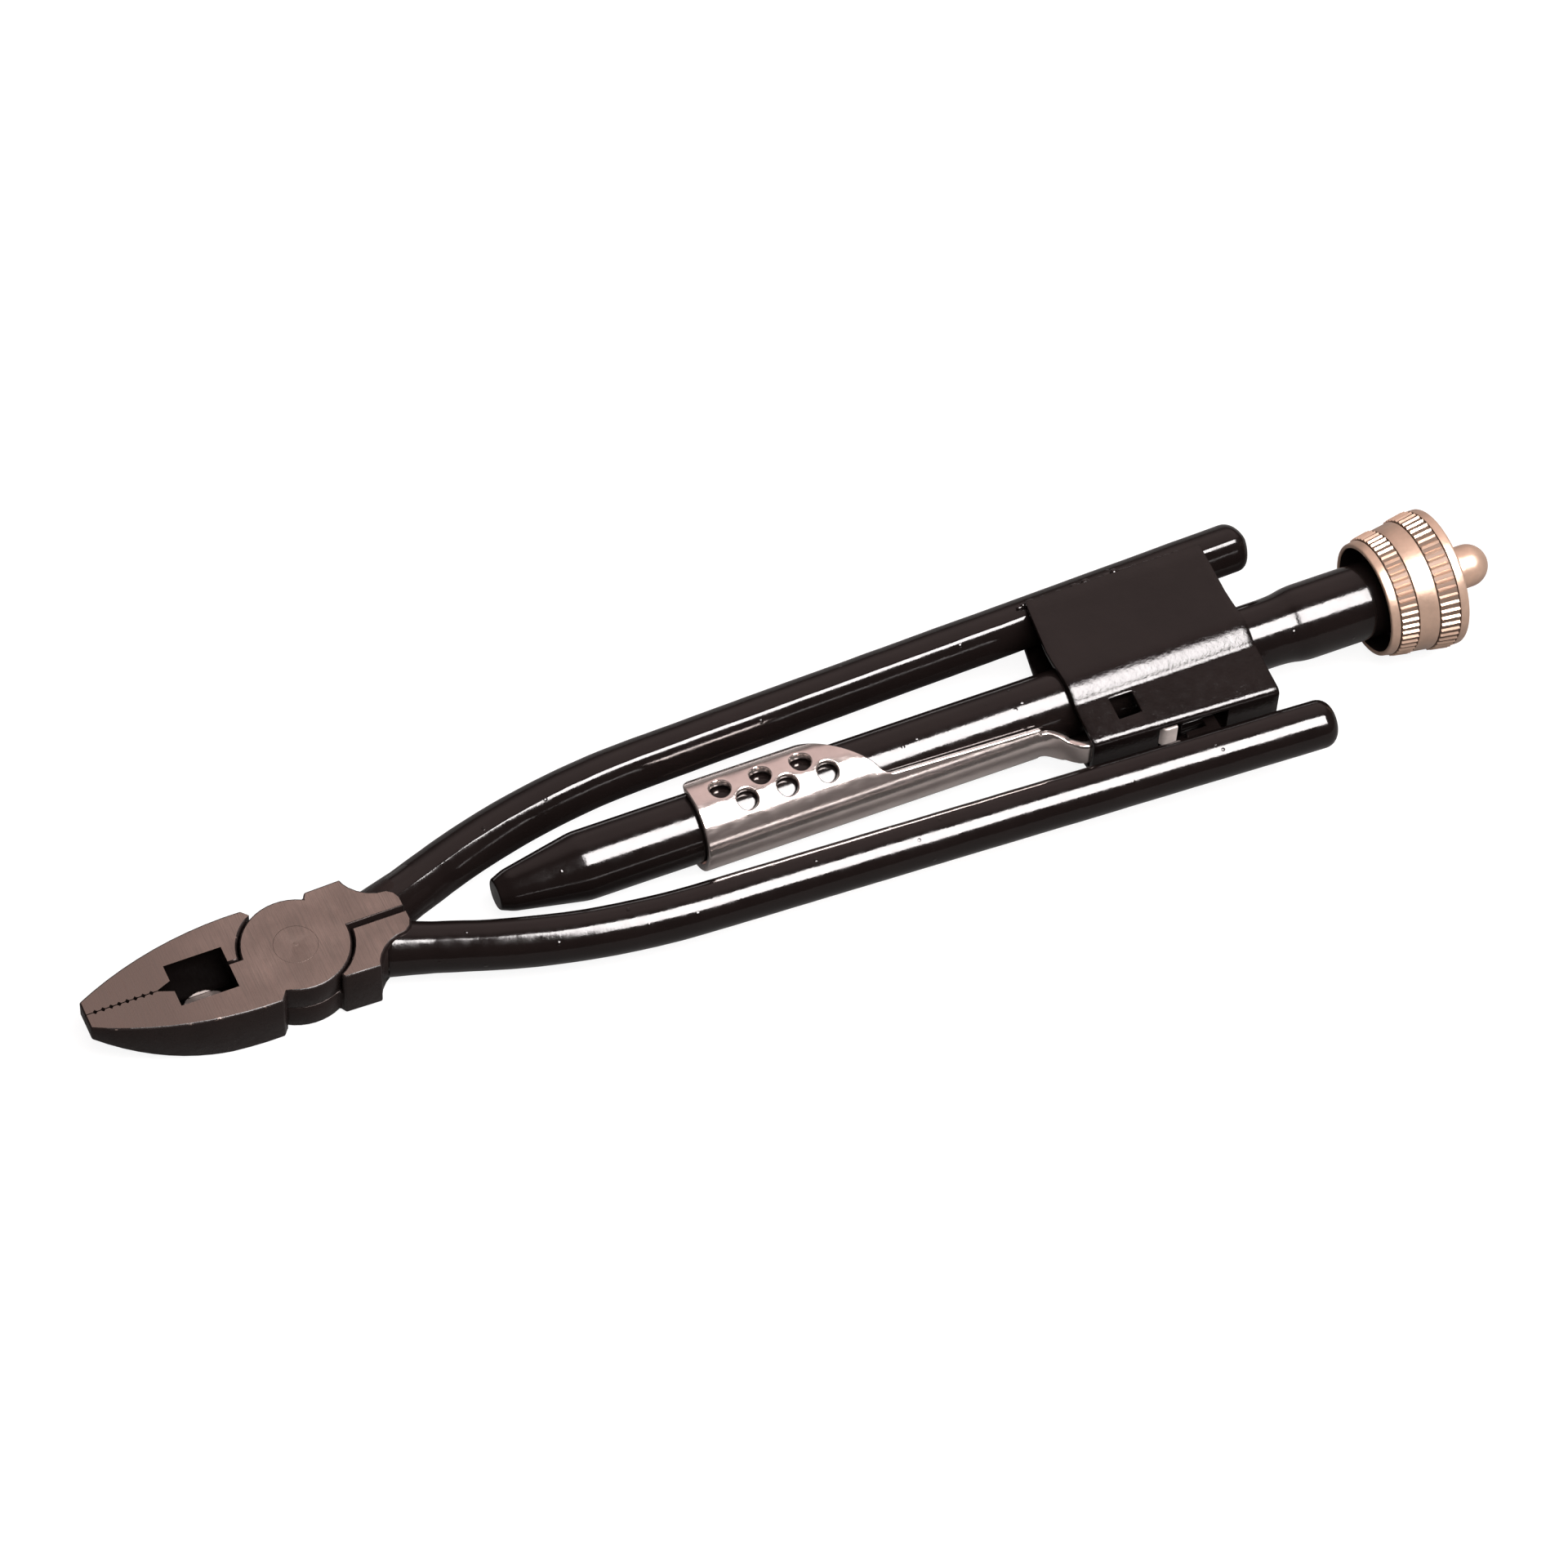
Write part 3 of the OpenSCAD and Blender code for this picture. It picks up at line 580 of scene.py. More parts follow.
def soften(bm, width, segments=2, limit=32, keep=None):
    """Rounds every edge sharper than a limit in degrees, except those that keep picks by their middle."""
    edges = [e for e in bm.edges if len(e.link_faces) == 2 and e.calc_face_angle(0) > radians(limit)
             and not (keep and keep((e.verts[0].co + e.verts[1].co) / 2))]
    bmesh.ops.bevel(bm, geom=edges, offset=width, offset_type="OFFSET",
                    segments=segments, profile=0.5, affect="EDGES", clamp_overlap=False)
    bmesh.ops.remove_doubles(bm, verts=bm.verts, dist=0.004)


def rounded(corners, steps=4):
    """Line through corners (x, r, radius), each inner corner rounded by its radius."""
    points = []
    for i, (x, r, fillet) in enumerate(corners):
        here = Vector((x, r))
        if fillet <= 0 or i in (0, len(corners) - 1):
            points.append(here)
            continue
        before = Vector(corners[i - 1][:2]) - here
        after = Vector(corners[i + 1][:2]) - here
        a = here + before.normalized() * min(fillet, before.length * 0.49)
        b = here + after.normalized() * min(fillet, after.length * 0.49)
        points += [curved(a, here, b, k / steps) for k in range(steps + 1)]
    return points


def revolve(profile, steps=96, closed=False, start=0.0):
    """Surface of revolution round the barrel's axis; a radius of 0 closes in a pole."""
    bm = bmesh.new()
    rings = []
    for x, r in profile:
        count = 1 if r < 1e-6 else steps
        rings.append([bm.verts.new((start + x, r * cos(2 * pi * i / steps), AXIS_Z + r * sin(2 * pi * i / steps)))
                      for i in range(count)])
    pairs = list(zip(rings, rings[1:]))
    if closed:
        pairs.append((rings[-1], rings[0]))
    for a, b in pairs:
        for i in range(steps):
            j = (i + 1) % steps
            corners = dict.fromkeys([a[i % len(a)], a[j % len(a)], b[j % len(b)], b[i % len(b)]])
            if len(corners) > 2:
                bm.faces.new(list(corners))
    face_out(bm)
    return bm


# ---- node trees ----


class Tree(Nodes):
    """A geometry tree with named inputs and short calls for the nodes used here."""

    def __init__(self, name, **inputs):
        self.tree = bpy.data.node_groups.new(name, "GeometryNodeTree")
        for label, kind in inputs.items():
            self.tree.interface.new_socket(label, in_out="INPUT", socket_type="NodeSocket" + kind)
        self.tree.interface.new_socket("Geometry", in_out="OUTPUT", socket_type="NodeSocketGeometry")
        self.given = self.tree.nodes.new("NodeGroupInput").outputs
        self.out = self.tree.nodes.new("NodeGroupOutput").inputs[0]

    def geo(self, kind, sockets, **props):
        return wire(self.tree, "GeometryNode" + kind, sockets, **props)[0]

    def xyz(self, x=0.0, y=0.0, z=0.0):
        return self.node("CombineXYZ", {0: x, 1: y, 2: z})[0]

    def moved(self, geometry, **change):
        return self.geo("Transform", {"Geometry": geometry, **change})

    def between(self, low, high):
        """Random vector between two corners, drawn for each point from the tree's seed."""
        return wire(self.tree, "FunctionNodeRandomValue", {0: low, 1: high, "Seed": self.given["Seed"]},
                    data_type="FLOAT_VECTOR")[0]

    def close(self, geometry):
        """Realize Instances and Set Material, the end of every tree."""
        real = self.geo("RealizeInstances", {"Geometry": geometry})
        painted = self.geo("SetMaterial", {"Geometry": real, "Material": self.given["Material"]})
        self.tree.links.new(painted, self.out)
        return self.tree


def grown_mesh(name, tree, **values):
    """Runs a tree once and returns its result as a plain mesh."""
    carrier = add_object(name + "_carrier", bpy.data.meshes.new(name + "_carrier"))
    modifier = carrier.modifiers.new("Grow", "NODES")
    modifier.node_group = tree
    for item in tree.interface.items_tree:
        if item.in_out == "INPUT":
            modifier[item.identifier] = values[item.name]
    evaluated = carrier.evaluated_get(bpy.context.evaluated_depsgraph_get())
    mesh = bpy.data.meshes.new_from_object(evaluated)
    mesh.name = name
    bpy.data.objects.remove(carrier)
    if not mesh.polygons:
        raise RuntimeError(f"the tree of {name} made no faces")
    mesh.materials.clear()
    return mesh


def rib_tree():
    """Ribs along X round the barrel's axis, spread wider towards the rear by a slope."""
    t = Tree("knob_ribs", Count="Int", Radius="Float", Slope="Float", Start="Float", Length="Float",
             Width="Float", Height="Float", Axis="Float", Material="Material")
    given = t.given
    bar = t.geo("MeshCube", {"Size": t.xyz(given["Length"], given["Width"], given["Width"]), "Vertices X": 2})
    bar = t.moved(bar, Rotation=(pi / 4, 0, 0))
    bar = t.moved(bar, Scale=t.xyz(1.0, 1.0, t.math("DIVIDE", given["Height"], given["Width"])))
    ring = t.geo("MeshCircle", {"Vertices": given["Count"], "Radius": given["Radius"]})
    ring = t.moved(ring, Rotation=(0, pi / 2, 0))
    place = t.geo("InputPosition", {})
    turn = wire(t.tree, "FunctionNodeAlignRotationToVector", {"Vector": place}, axis="Z", pivot_axis="X")[0]
    ribs = t.geo("InstanceOnPoints", {"Points": ring, "Instance": bar, "Rotation": turn})
    ribs = t.geo("RealizeInstances", {"Geometry": ribs})
    x, y, z = t.parts(place)
    gain = t.math("DIVIDE", t.math("MULTIPLY", x, given["Slope"]), given["Radius"])
    spread = t.xyz(0.0, t.math("MULTIPLY", y, gain), t.math("MULTIPLY", z, gain))
    ribs = t.geo("SetPosition", {"Geometry": ribs, "Offset": spread})
    middle = t.math("ADD", given["Start"], t.math("MULTIPLY", given["Length"], 0.5))
    return t.close(t.moved(ribs, Translation=t.xyz(middle, 0.0, given["Axis"])))


def twist_tree():
    """Square bar with rounded corners along X, turned steadily about its axis."""
    t = Tree("twisted_bar", Start="Float", Length="Float", Width="Float", Corner="Float", Lead="Float",
             Steps="Int", Axis="Float", Material="Material")
    given = t.given
    line = t.geo("CurvePrimitiveLine", {"Start": (0, 0, 0), "End": t.xyz(given["Length"])})
    line = t.geo("ResampleCurve", {"Curve": line, "Count": given["Steps"]})
    square = t.geo("CurvePrimitiveQuadrilateral", {"Width": given["Width"], "Height": given["Width"]})
    square = t.geo("FilletCurve", {"Curve": square, "Radius": given["Corner"], "Count": 3}, mode="POLY")
    bar = t.geo("CurveToMesh", {"Curve": line, "Profile Curve": square, "Fill Caps": True})
    place = t.geo("InputPosition", {})
    angle = t.math("MULTIPLY", t.math("DIVIDE", t.parts(place)[0], given["Lead"]), -2 * pi)
    turned = t.node("VectorRotate", {"Vector": place, "Angle": angle}, rotation_type="X_AXIS")[0]
    bar = t.geo("SetPosition", {"Geometry": bar, "Position": turned})
    return t.close(t.moved(bar, Translation=t.xyz(given["Start"], 0.0, given["Axis"])))


def weld_tree():
    """Row of lumps of uneven size along a straight seam."""
    t = Tree("weld_row", Start="Vector", End="Vector", Count="Int", Radius="Float", Wander="Float", Seed="Int",
             Material="Material")
    given = t.given
    line = t.geo("CurvePrimitiveLine", {"Start": given["Start"], "End": given["End"]})
    points = t.geo("CurveToPoints", {"Curve": line, "Count": given["Count"]})
    reach = [t.node("VectorMath", {0: far, "Scale": given["Wander"]}, operation="SCALE")[0]
             for far in ((-1, -1, -0.3), (1, 1, 0.3))]
    points = t.geo("SetPosition", {"Geometry": points, "Offset": t.between(*reach)})
    lump = t.geo("MeshIcoSphere", {"Radius": given["Radius"], "Subdivisions": 2})
    size = t.between((0.9, 0.5, 0.35), (1.9, 1.2, 0.9))
    return t.close(t.geo("InstanceOnPoints", {"Points": points, "Instance": lump, "Scale": size}))


# ---- levers ----


def handle_path(side):
    """Middle line of a handle from inside the head to its end: (point, direction, root's extra radius)."""
    grip_angle = GRIP_ANGLE[side]
    centre = ROOT + ROOT_LEN * heading(ROOT_ANGLE) + BEND_R * heading(ROOT_ANGLE - pi / 2)
    grip = centre + BEND_R * heading(grip_angle + pi / 2)
    length = (HANDLE_X[side] - grip.x) / cos(grip_angle)
    path = []
    for k in range(20):
        at = ROOT_START + k * (ROOT_LEN - ROOT_START) / 20
        # A little thicker than the forged root it covers, and flared towards the head
        extra = 0.05 * min(1.0, (ROOT_LEN - at) / 3) + 0.052 * max(0.0, 4 - at)
        path.append((ROOT + at * heading(ROOT_ANGLE), ROOT_ANGLE, extra))
    for k in range(46):
        a = ROOT_ANGLE + (grip_angle - ROOT_ANGLE) * k / 45
        path.append((centre + BEND_R * heading(a + pi / 2), a, 0.0))
    for k in range(1, 121):
        path.append((grip + length * k / 120 * heading(grip_angle), grip_angle, 0.0))
    return [(Vector((p.x, side * p.y, AXIS_Z)), Vector((cos(a), side * sin(a), 0)), extra)
            for p, a, extra in path]


def rod_section(angle, radius, ridge):
    """Point of the rod's section: a circle drawn out to four soft ridges, one of them on top."""
    turn = RIDGES * (angle - RIDGE_ANGLE)
    reach, drift = radius + ridge * cos(turn), -RIDGES * ridge * sin(turn)
    return (reach * cos(angle) - drift * sin(angle), reach * sin(angle) + drift * cos(angle))


def add_handle(bm, side, flat):
    """Sweeps the painted rod from inside the forged root's end, with a blunt rounded end."""
    around = 96
    ridge = 0.0 if flat else RIDGE
    radius = sizes().rod_diameter / 2
    wave = sizes().paint_wave
    path = handle_path(side)
    end_point, end_dir, _ = path[-1]
    rings = [(path[0][0], path[0][1], radius - 0.4)]
    rings += [(p, d, radius + extra) for p, d, extra in path[1:] if (end_point - p).length > HANDLE_END_R]
    for a in quarter(8):
        rings.append((end_point - end_dir * HANDLE_END_R * (1 - sin(a)), end_dir,
                      radius - HANDLE_END_R * (1 - cos(a))))
    rings.append((end_point + end_dir * 0.1, end_dir, radius * 0.2))
    made = []
    for n, (p, d, r) in enumerate(rings):
        out = Vector((-d.y, d.x, 0)) * side
        ring = []
        for i in range(around):
            a = 2 * pi * i / around
            v = out * cos(a) + Vector((0, 0, 1)) * sin(a)
            swell = wave * noise.noise((p + v * r) * 0.11) + 0.4 * wave * noise.noise((p + v * r) * 0.4)
            reach = r + (swell if 3 < n < len(rings) - 3 else 0)
            depth, rise = rod_section(a, reach, ridge * r / radius)
            if flat and FLAT_RANGE[0] < p.x < FLAT_RANGE[1]:
                depth = max(depth, FLAT_DEPTH - radius)
            place = p + out * depth + Vector((0, 0, rise))
            if p.x < SLIT_END_X:
                place.y = side * max(SLIT_HALF, side * place.y)
            ring.append(bm.verts.new(place))
        made.append(ring)
    for a, b in zip(made, made[1:]):
        for i in range(around):
            bm.faces.new((a[i], a[(i + 1) % around], b[(i + 1) % around], b[i]))
    bm.faces.new(made[0][::-1])
    bm.faces.new(made[-1])


def head_finish(face):
    """Which of a lever's finishes a face of its forging gets."""
    middle = face.calc_center_median()
    slant = abs(face.normal.z)
    outer = abs(middle.z - AXIS_Z) > AXIS_Z - 0.6
    ground = outer and slant > FLAT_SLANT
    in_window = WINDOW_X[0] < middle.x < WINDOW_X[1] and abs(middle.y) < WINDOW_HALF
    if middle.x > HEAD_END_X:
        return PAINT
    # Faces inside the cutter window, other than ground flats, get painted shade.
    if in_window and not ground:
        return CUTTER_SHADE
    if ground:
        return GROUND
    worn = outer and slant > WORN_SLANT and face.calc_area() < 12 and abs(middle.y) > 5
    return WORN if worn else OXIDE


def stays_square(middle):
    """Edges of the head that are cut, not forged: rivet hole, cutter window, jaw line and the jaw's heel."""
    in_hole = hypot(middle.x, middle.y) < HOLE_RIM_R
    in_window = WINDOW_X[0] < middle.x < WINDOW_X[1] and abs(middle.y) < 5
    in_heel = abs(middle.x - HEEL_X) < 0.3 and 8.5 < abs(middle.y) < 9.4
    return in_hole or in_window or in_heel or (middle.x < WINDOW_X[1] and abs(middle.y) < JAW_LINE_HALF)


def lever(name, node, side, body, flat):
    """A lever's forged head, cut off in its root, with a painted rod swept on from there."""
    bm = node_copy(node)
    soften(bm, sizes().edge_round, keep=stays_square)
    cut_dir = Vector((cos(ROOT_ANGLE), side * sin(ROOT_ANGLE), 0))
    cut_at = Vector((ROOT.x, side * ROOT.y, AXIS_Z)) + cut_dir * ROOT_CUT
    cut(bm, cut_at, cut_dir, clear_outer=True)
    bmesh.ops.holes_fill(bm, edges=[e for e in bm.edges if len(e.link_faces) == 1])
    heel = [v for v in bm.verts if abs(v.co.x - HEEL_X) < 0.05 and 8.9 < abs(v.co.y) < 9.2]
    bmesh.ops.remove_doubles(bm, verts=heel, dist=0.15)
    forged = set(bm.faces)
    add_handle(bm, side, flat)
    face_out(bm)
    for face in bm.faces:
        face.material_index = head_finish(face) if face in forged else PAINT
    lever_finishes = [ground_flat(), head_black(), worn_edge(), gloss_paint(), cutter_pit_shade()]
    make_piece(name, bm, lever_finishes, body, "lever_finish", [node], crisp=GROUND)


class PLIERS_OT_levers(bpy.types.Operator):
    """Forged levers with ground flats, worn edges and painted handles"""
    bl_idname = "pliers.levers"
    bl_label = "Levers"

    def execute(self, context):
        lever("lever_far", "frame_lever", FAR, "root", False)
        lever("lever_near", "swing_lever", NEAR, "near_lever", True)
        return {"FINISHED"}


class PLIERS_OT_rivet(bpy.types.Operator):
    """Flush pivot rivet with a centre mark"""
    bl_idname = "pliers.rivet"
    bl_label = "Pivot rivet"

    def execute(self, context):
        bm = node_copy("pivot_rivet")
        bmesh.ops.scale(bm, vec=(1.01, 1.01, 1), verts=bm.verts)
        for v in bm.verts:
            if hypot(v.co.x, v.co.y) < 1:
                v.co.z = HEAD_T
        soften(bm, 0.05, 1)
        make_piece("rivet", bm, [ground_flat()], "root", "head_steel", ["pivot_rivet"], sharp=20)
        return {"FINISHED"}


# ---- housing and barrel ----


def housing_section(x):
    """Upper half of the housing's section at x, from the far plate's edge to the wall, about the axis."""
    shift = (x - HOUSING_X[0]) * tan(WALL_ANGLE)
    crease = CROWN_R * Vector((-sin(CREASE), cos(CREASE)))
    corner = CORNER + Vector((-shift, 0))
    fall = atan2(crease.y - corner.y - CORNER_R, crease.x - corner.x)
    foot = corner + CORNER_R * Vector((-sin(fall), cos(fall)))

    def flange(y):
        return crease.lerp(foot, (y - crease.x) / (foot.x - crease.x))

    lead = atan2(PLATE_EDGE.y, PLATE_EDGE.x) + acos(CROWN_R / PLATE_EDGE.length)
    last = pi / 2 + CREASE - 0.06
    points = [PLATE_EDGE.lerp(CROWN_R * heading(lead), k / 6) for k in range(6)]
    points += [CROWN_R * heading(lead + (last - lead) * k / 16) for k in range(16)]
    start, end = CROWN_R * heading(last), flange(crease.x - 0.5)
    points += [curved(start, crease, end, k / 4) for k in range(5)]
    points += [flange(LANCE_Y[0]), flange((LANCE_Y[0] + LANCE_Y[1]) / 2), flange(LANCE_Y[1])]
    for k in range(9):
        a = pi / 2 + fall + (pi / 2 - fall) * k / 8
        points.append(corner + CORNER_R * heading(a))
    return points


def housing_shell():
    """The folded sheet with its slot and lance, as a closed shell."""
    special = [*HOUSING_X, *SLOT_X, *LANCE_X]
    span = HOUSING_X[1] - HOUSING_X[0]
    columns = [HOUSING_X[0] + span * k / 26 for k in range(1, 26)]
    columns = sorted([x for x in columns if min(abs(x - s) for s in special) > 0.7] + special)
    bm = bmesh.new()
    grid = []
    for x in columns:
        half = housing_section(x)
        line = []
        for y, z in [(p.x, p.y) for p in half] + [(p.x, -p.y) for p in reversed(half)]:
            out = max(0.0, (y - SLANT_Y) / (PLATE_EDGE.x - SLANT_Y))
            along = (x - HOUSING_X[0]) / span
            line.append(bm.verts.new((x + out * (FRONT_SLANT * (1 - along) + REAR_SLANT * along), y, AXIS_Z + z)))
        grid.append(line)
    rows = len(grid[0])
    for a, b, x0, x1 in zip(grid, grid[1:], columns, columns[1:]):
        x = (x0 + x1) / 2
        for j in range(rows - 1):
            face = bm.faces.new((a[j], b[j], b[j + 1], a[j + 1]))
            middle = face.calc_center_median()
            in_slot = SLOT_X[0] < x < SLOT_X[1] and j == rows // 2 - 1
            in_lance = (LANCE_X[0] < x < LANCE_X[1] and LANCE_Y[1] < middle.y < LANCE_Y[0]
                        and middle.z > AXIS_Z)
            if in_slot or in_lance:
                bm.faces.remove(face)
    face_out(bm)
    outward = sum(f.normal.z * (1 if f.calc_center_median().z > AXIS_Z else -1) for f in bm.faces)
    if outward < 0:
        bmesh.ops.reverse_faces(bm, faces=bm.faces)
    bmesh.ops.solidify(bm, geom=bm.faces[:], thickness=HOUSING_T)
    face_out(bm)
    soften(bm, 0.2, 2, 55)
    return bm


class PLIERS_OT_housing(bpy.types.Operator):
    """Folded housing, its weld rows on the far handle and the near handle's catch"""
    bl_idname = "pliers.housing"
    bl_label = "Latch housing"

    def execute(self, context):
        make_piece("housing", housing_shell(), [housing_paint()], "root", "black_paint", ["latch_housing"],
                   sharp=30)
        bm = node_copy("catch_plate")
        soften(bm, 0.2)
        make_piece("catch", bm, [gloss_paint()], "near_lever", "black_paint", ["catch_plate"])
        tree = weld_tree()
        for name, side, seed in (("weld_top", 1, 3), ("weld_under", -1, 8)):
            start, end = ((x * MM, y * MM, (AXIS_Z + side * WELD_RISE) * MM) for x, y in WELD_ENDS)
            mesh = grown_mesh(name, tree, Start=start, End=end, Count=34, Radius=0.6 * MM, Wander=0.5 * MM,
                              Seed=seed, Material=weld_black())
            dress(name, mesh, [weld_black()], "root", "black_paint")
        return {"FINISHED"}


class PLIERS_OT_barrel(bpy.types.Operator):
    """Painted barrel with a swaged nose and a belled rear end"""
    bl_idname = "pliers.barrel"
    bl_label = "Barrel"

    def execute(self, context):
        outside = rounded([
            (NOSE_X[0], 0, 0), (NOSE_X[0], NOSE_R[0], 0.4), (NOSE_X[1], NOSE_R[1], 0.8),
            (TUBE_X[0], TUBE_R, 1.2), (TUBE_X[1], TUBE_R, 3), (BELL_X[0], BELL_R, 2), (BELL_X[1], BELL_R, 0.4),
            (BELL_X[1], BELL_BORE, 0.3), (CLIP_X[1], BELL_BORE, 0), (CLIP_X[1], TUBE_R, 0),
            (CLIP_X[0], TUBE_R, 0), (CLIP_X[0], BELL_BORE, 0), (SEAT_X, BELL_BORE, 0), (SEAT_X, TUBE_BORE, 0),
            (TUBE_X[0], TUBE_BORE, 0), (NOSE_X[2], NOSE_R[2], 0), (NOSE_X[2], 0, 0)], 6)
        dense = []
        for a, b in zip(outside, outside[1:]):
            pieces = max(1, int((b - a).length / 4)) if min(a.y, b.y) > TUBE_R - 0.1 else 1
            dense += [a + (b - a) * k / pieces for k in range(pieces)]
        bm = revolve(dense + [outside[-1]])
        wave = sizes().paint_wave
        for v in bm.verts:
            arm = Vector((0, v.co.y, v.co.z - AXIS_Z))
            if arm.length > TUBE_R - 0.05 and v.co.x < CLIP_X[0] - 1:
                arm *= 1 + wave * 0.6 * noise.noise(v.co * 0.12) / arm.length
                v.co = Vector((v.co.x, arm.y, arm.z + AXIS_Z))
        make_piece("barrel", bm, [gloss_paint()], "root", "black_paint", ["barrel_tube"])
        return {"FINISHED"}


# ---- lock slide ----


def slide_outline():
    """Half outline of the flat blank, as (x, y of the rolled edge)."""
    points = [(SLIDE_X, SLEEVE_TOP_Y - SLEEVE_CORNER)]
    for a in quarter(8)[1:]:
        points.append((SLIDE_X + SLEEVE_CORNER * (1 - cos(a)),
                       SLEEVE_TOP_Y - SLEEVE_CORNER * (1 - sin(a))))
    for k in range(19):
        s = 1 - k / 18
        points.append((SLOPE_END - SLOPE_LEN * s ** SLOPE_BOW, SLOPE_LOW_Y + s * (SLEEVE_TOP_Y - SLOPE_LOW_Y)))
    return points + [(SLOPE_END + behind, y) for behind, y in SLOPE_FOOT]


def rolled(y):
    """Arc length along the rolled sleeve, from its near side, of an edge at y."""
    return SLIDE_MID_R * acos(max(-1.0, min(1.0, -y / SLIDE_MID_R)))


def blank_loops():
    """Outline and holes of the flat blank as lists of (x, arc length)."""
    top = [(x, rolled(y)) for x, y in slide_outline()]
    arm = rolled(ARM_Y)
    broad = arm - NECK_STEP
    neck = [(ARM_X, arm), (ARM_X, broad)]
    for a in quarter(8):
        neck.append((NECK_X[0] + (NECK_X[1] - NECK_X[0]) * sin(a),
                     NECK_HALF + (broad - NECK_HALF) * cos(a)))
    upper = top + neck + [(TAIL_X, NECK_HALF), (TAIL_X, TAB_TOP), (TAIL_X + TAB_LEN, TAB_TOP)]
    lower = [(x, -v) for x, v in top + neck] + [(TAIL_X + TAB_LEN, -NECK_HALF)]
    loops = [upper + lower[::-1]]
    radius = sizes().hole_diameter / 2
    rim = [(radius * cos(2 * pi * k / 40), radius * sin(2 * pi * k / 40)) for k in range(40)]
    for angle, first in FINGER_HOLES:
        for i in range(3):
            for side in (1, -1):
                x, v = first + i * FINGER_PITCH, side * SLIDE_MID_R * radians(angle)
                loops.append([(x + a, v + b) for a, b in rim])
    return loops


def swung(x, start, reach, height):
    """How far a bend has swung out at x, and its slope there."""
    s = min(1.0, max(0.0, (x - start) / reach))
    return height * (1 - cos(pi * s)) / 2, atan2(height * pi / 2 * sin(pi * s), reach)


def bend_blank(x, v, lift):
    """Place of a point of the flat blank once the sleeve is rolled and the tail is swung out."""
    flat = min(1.0, max(0.0, (x - ARM_X) / TAIL_BEND_LEN))
    flat = flat * flat * (3 - 2 * flat)
    curve = (1 - flat) / SLIDE_MID_R
    if curve > 1e-5:
        a = v * curve
        side, rise = (1 - cos(a)) / curve, sin(a) / curve
    else:
        a, side, rise = 0.0, 0.0, v
    swing, slope = swung(x, TAIL_BEND_X, TAIL_BEND_LEN, TAIL_SWING)
    if x > STEP_X[0]:
        step, slope = swung(x, STEP_X[0], STEP_X[1] - STEP_X[0], STEP_OUT)
        swing += step
        lift *= STEP_THIN
    centre = Vector((x, -SLIDE_MID_R - swing + side, AXIS_Z + rise))
    outward = Vector((-sin(slope) * cos(a), -cos(slope) * cos(a), sin(a)))
    return centre + outward * lift


class PLIERS_OT_slide(bpy.types.Operator):
    """Lock slide: a flat blank with finger holes, rolled round the barrel, with a swung-out tail"""
    bl_idname = "pliers.slide"
    bl_label = "Lock slide"

    def execute(self, context):
        bm = bmesh.new()
        edges = []
        for loop in blank_loops():
            verts = [bm.verts.new((x, v, -SLIDE_T / 2)) for x, v in loop]
            edges += [bm.edges.new((a, b)) for a, b in zip(verts, verts[1:] + verts[:1])]
        bmesh.ops.triangle_fill(bm, use_beauty=True, use_dissolve=False, edges=edges, normal=(0, 0, 1))
        grown = bmesh.ops.extrude_face_region(bm, geom=bm.faces[:])
        for v in (g for g in grown["geom"] if isinstance(g, bmesh.types.BMVert)):
            v.co.z = SLIDE_T / 2
        face_out(bm)
        bmesh.ops.dissolve_limit(bm, angle_limit=0.01, verts=bm.verts, edges=bm.edges)
        soften(bm, 0.28, 3, 50)
        for step in range(-33, 34):
            cut(bm, (0, step * FOLD_PITCH + FOLD_OFF, 0), (0, 1, 0))
        cuts = [SLIDE_X + 0.7 + 2.5 * k for k in range(25)] + [SLIDE_X + 63.2 + k for k in range(21)]
        for at in cuts + [STEP_X[0] - 0.1 + 0.2 * k for k in range(9)]:
            cut(bm, (at, 0, 0), (1, 0, 0))
        for v in bm.verts:
            v.co = bend_blank(*v.co)
        face_out(bm)
        for face in bm.faces:
            face.material_index = 1 if face.calc_center_median().x > STEP_X[0] else 0
        make_piece("slide", bm, [bright_nickel(), sheared_nickel()], "slide", "bright_nickel", ["lock_slide"],
                   sharp=50)
        return {"FINISHED"}


# ---- knob and pin ----


def knob_r(at):
    """Radius of the knob's taper at a distance from its front edge."""
    return KNOB_FRONT_R + (KNOB_REAR_R - KNOB_FRONT_R) * at / KNOB_BANDS[3]


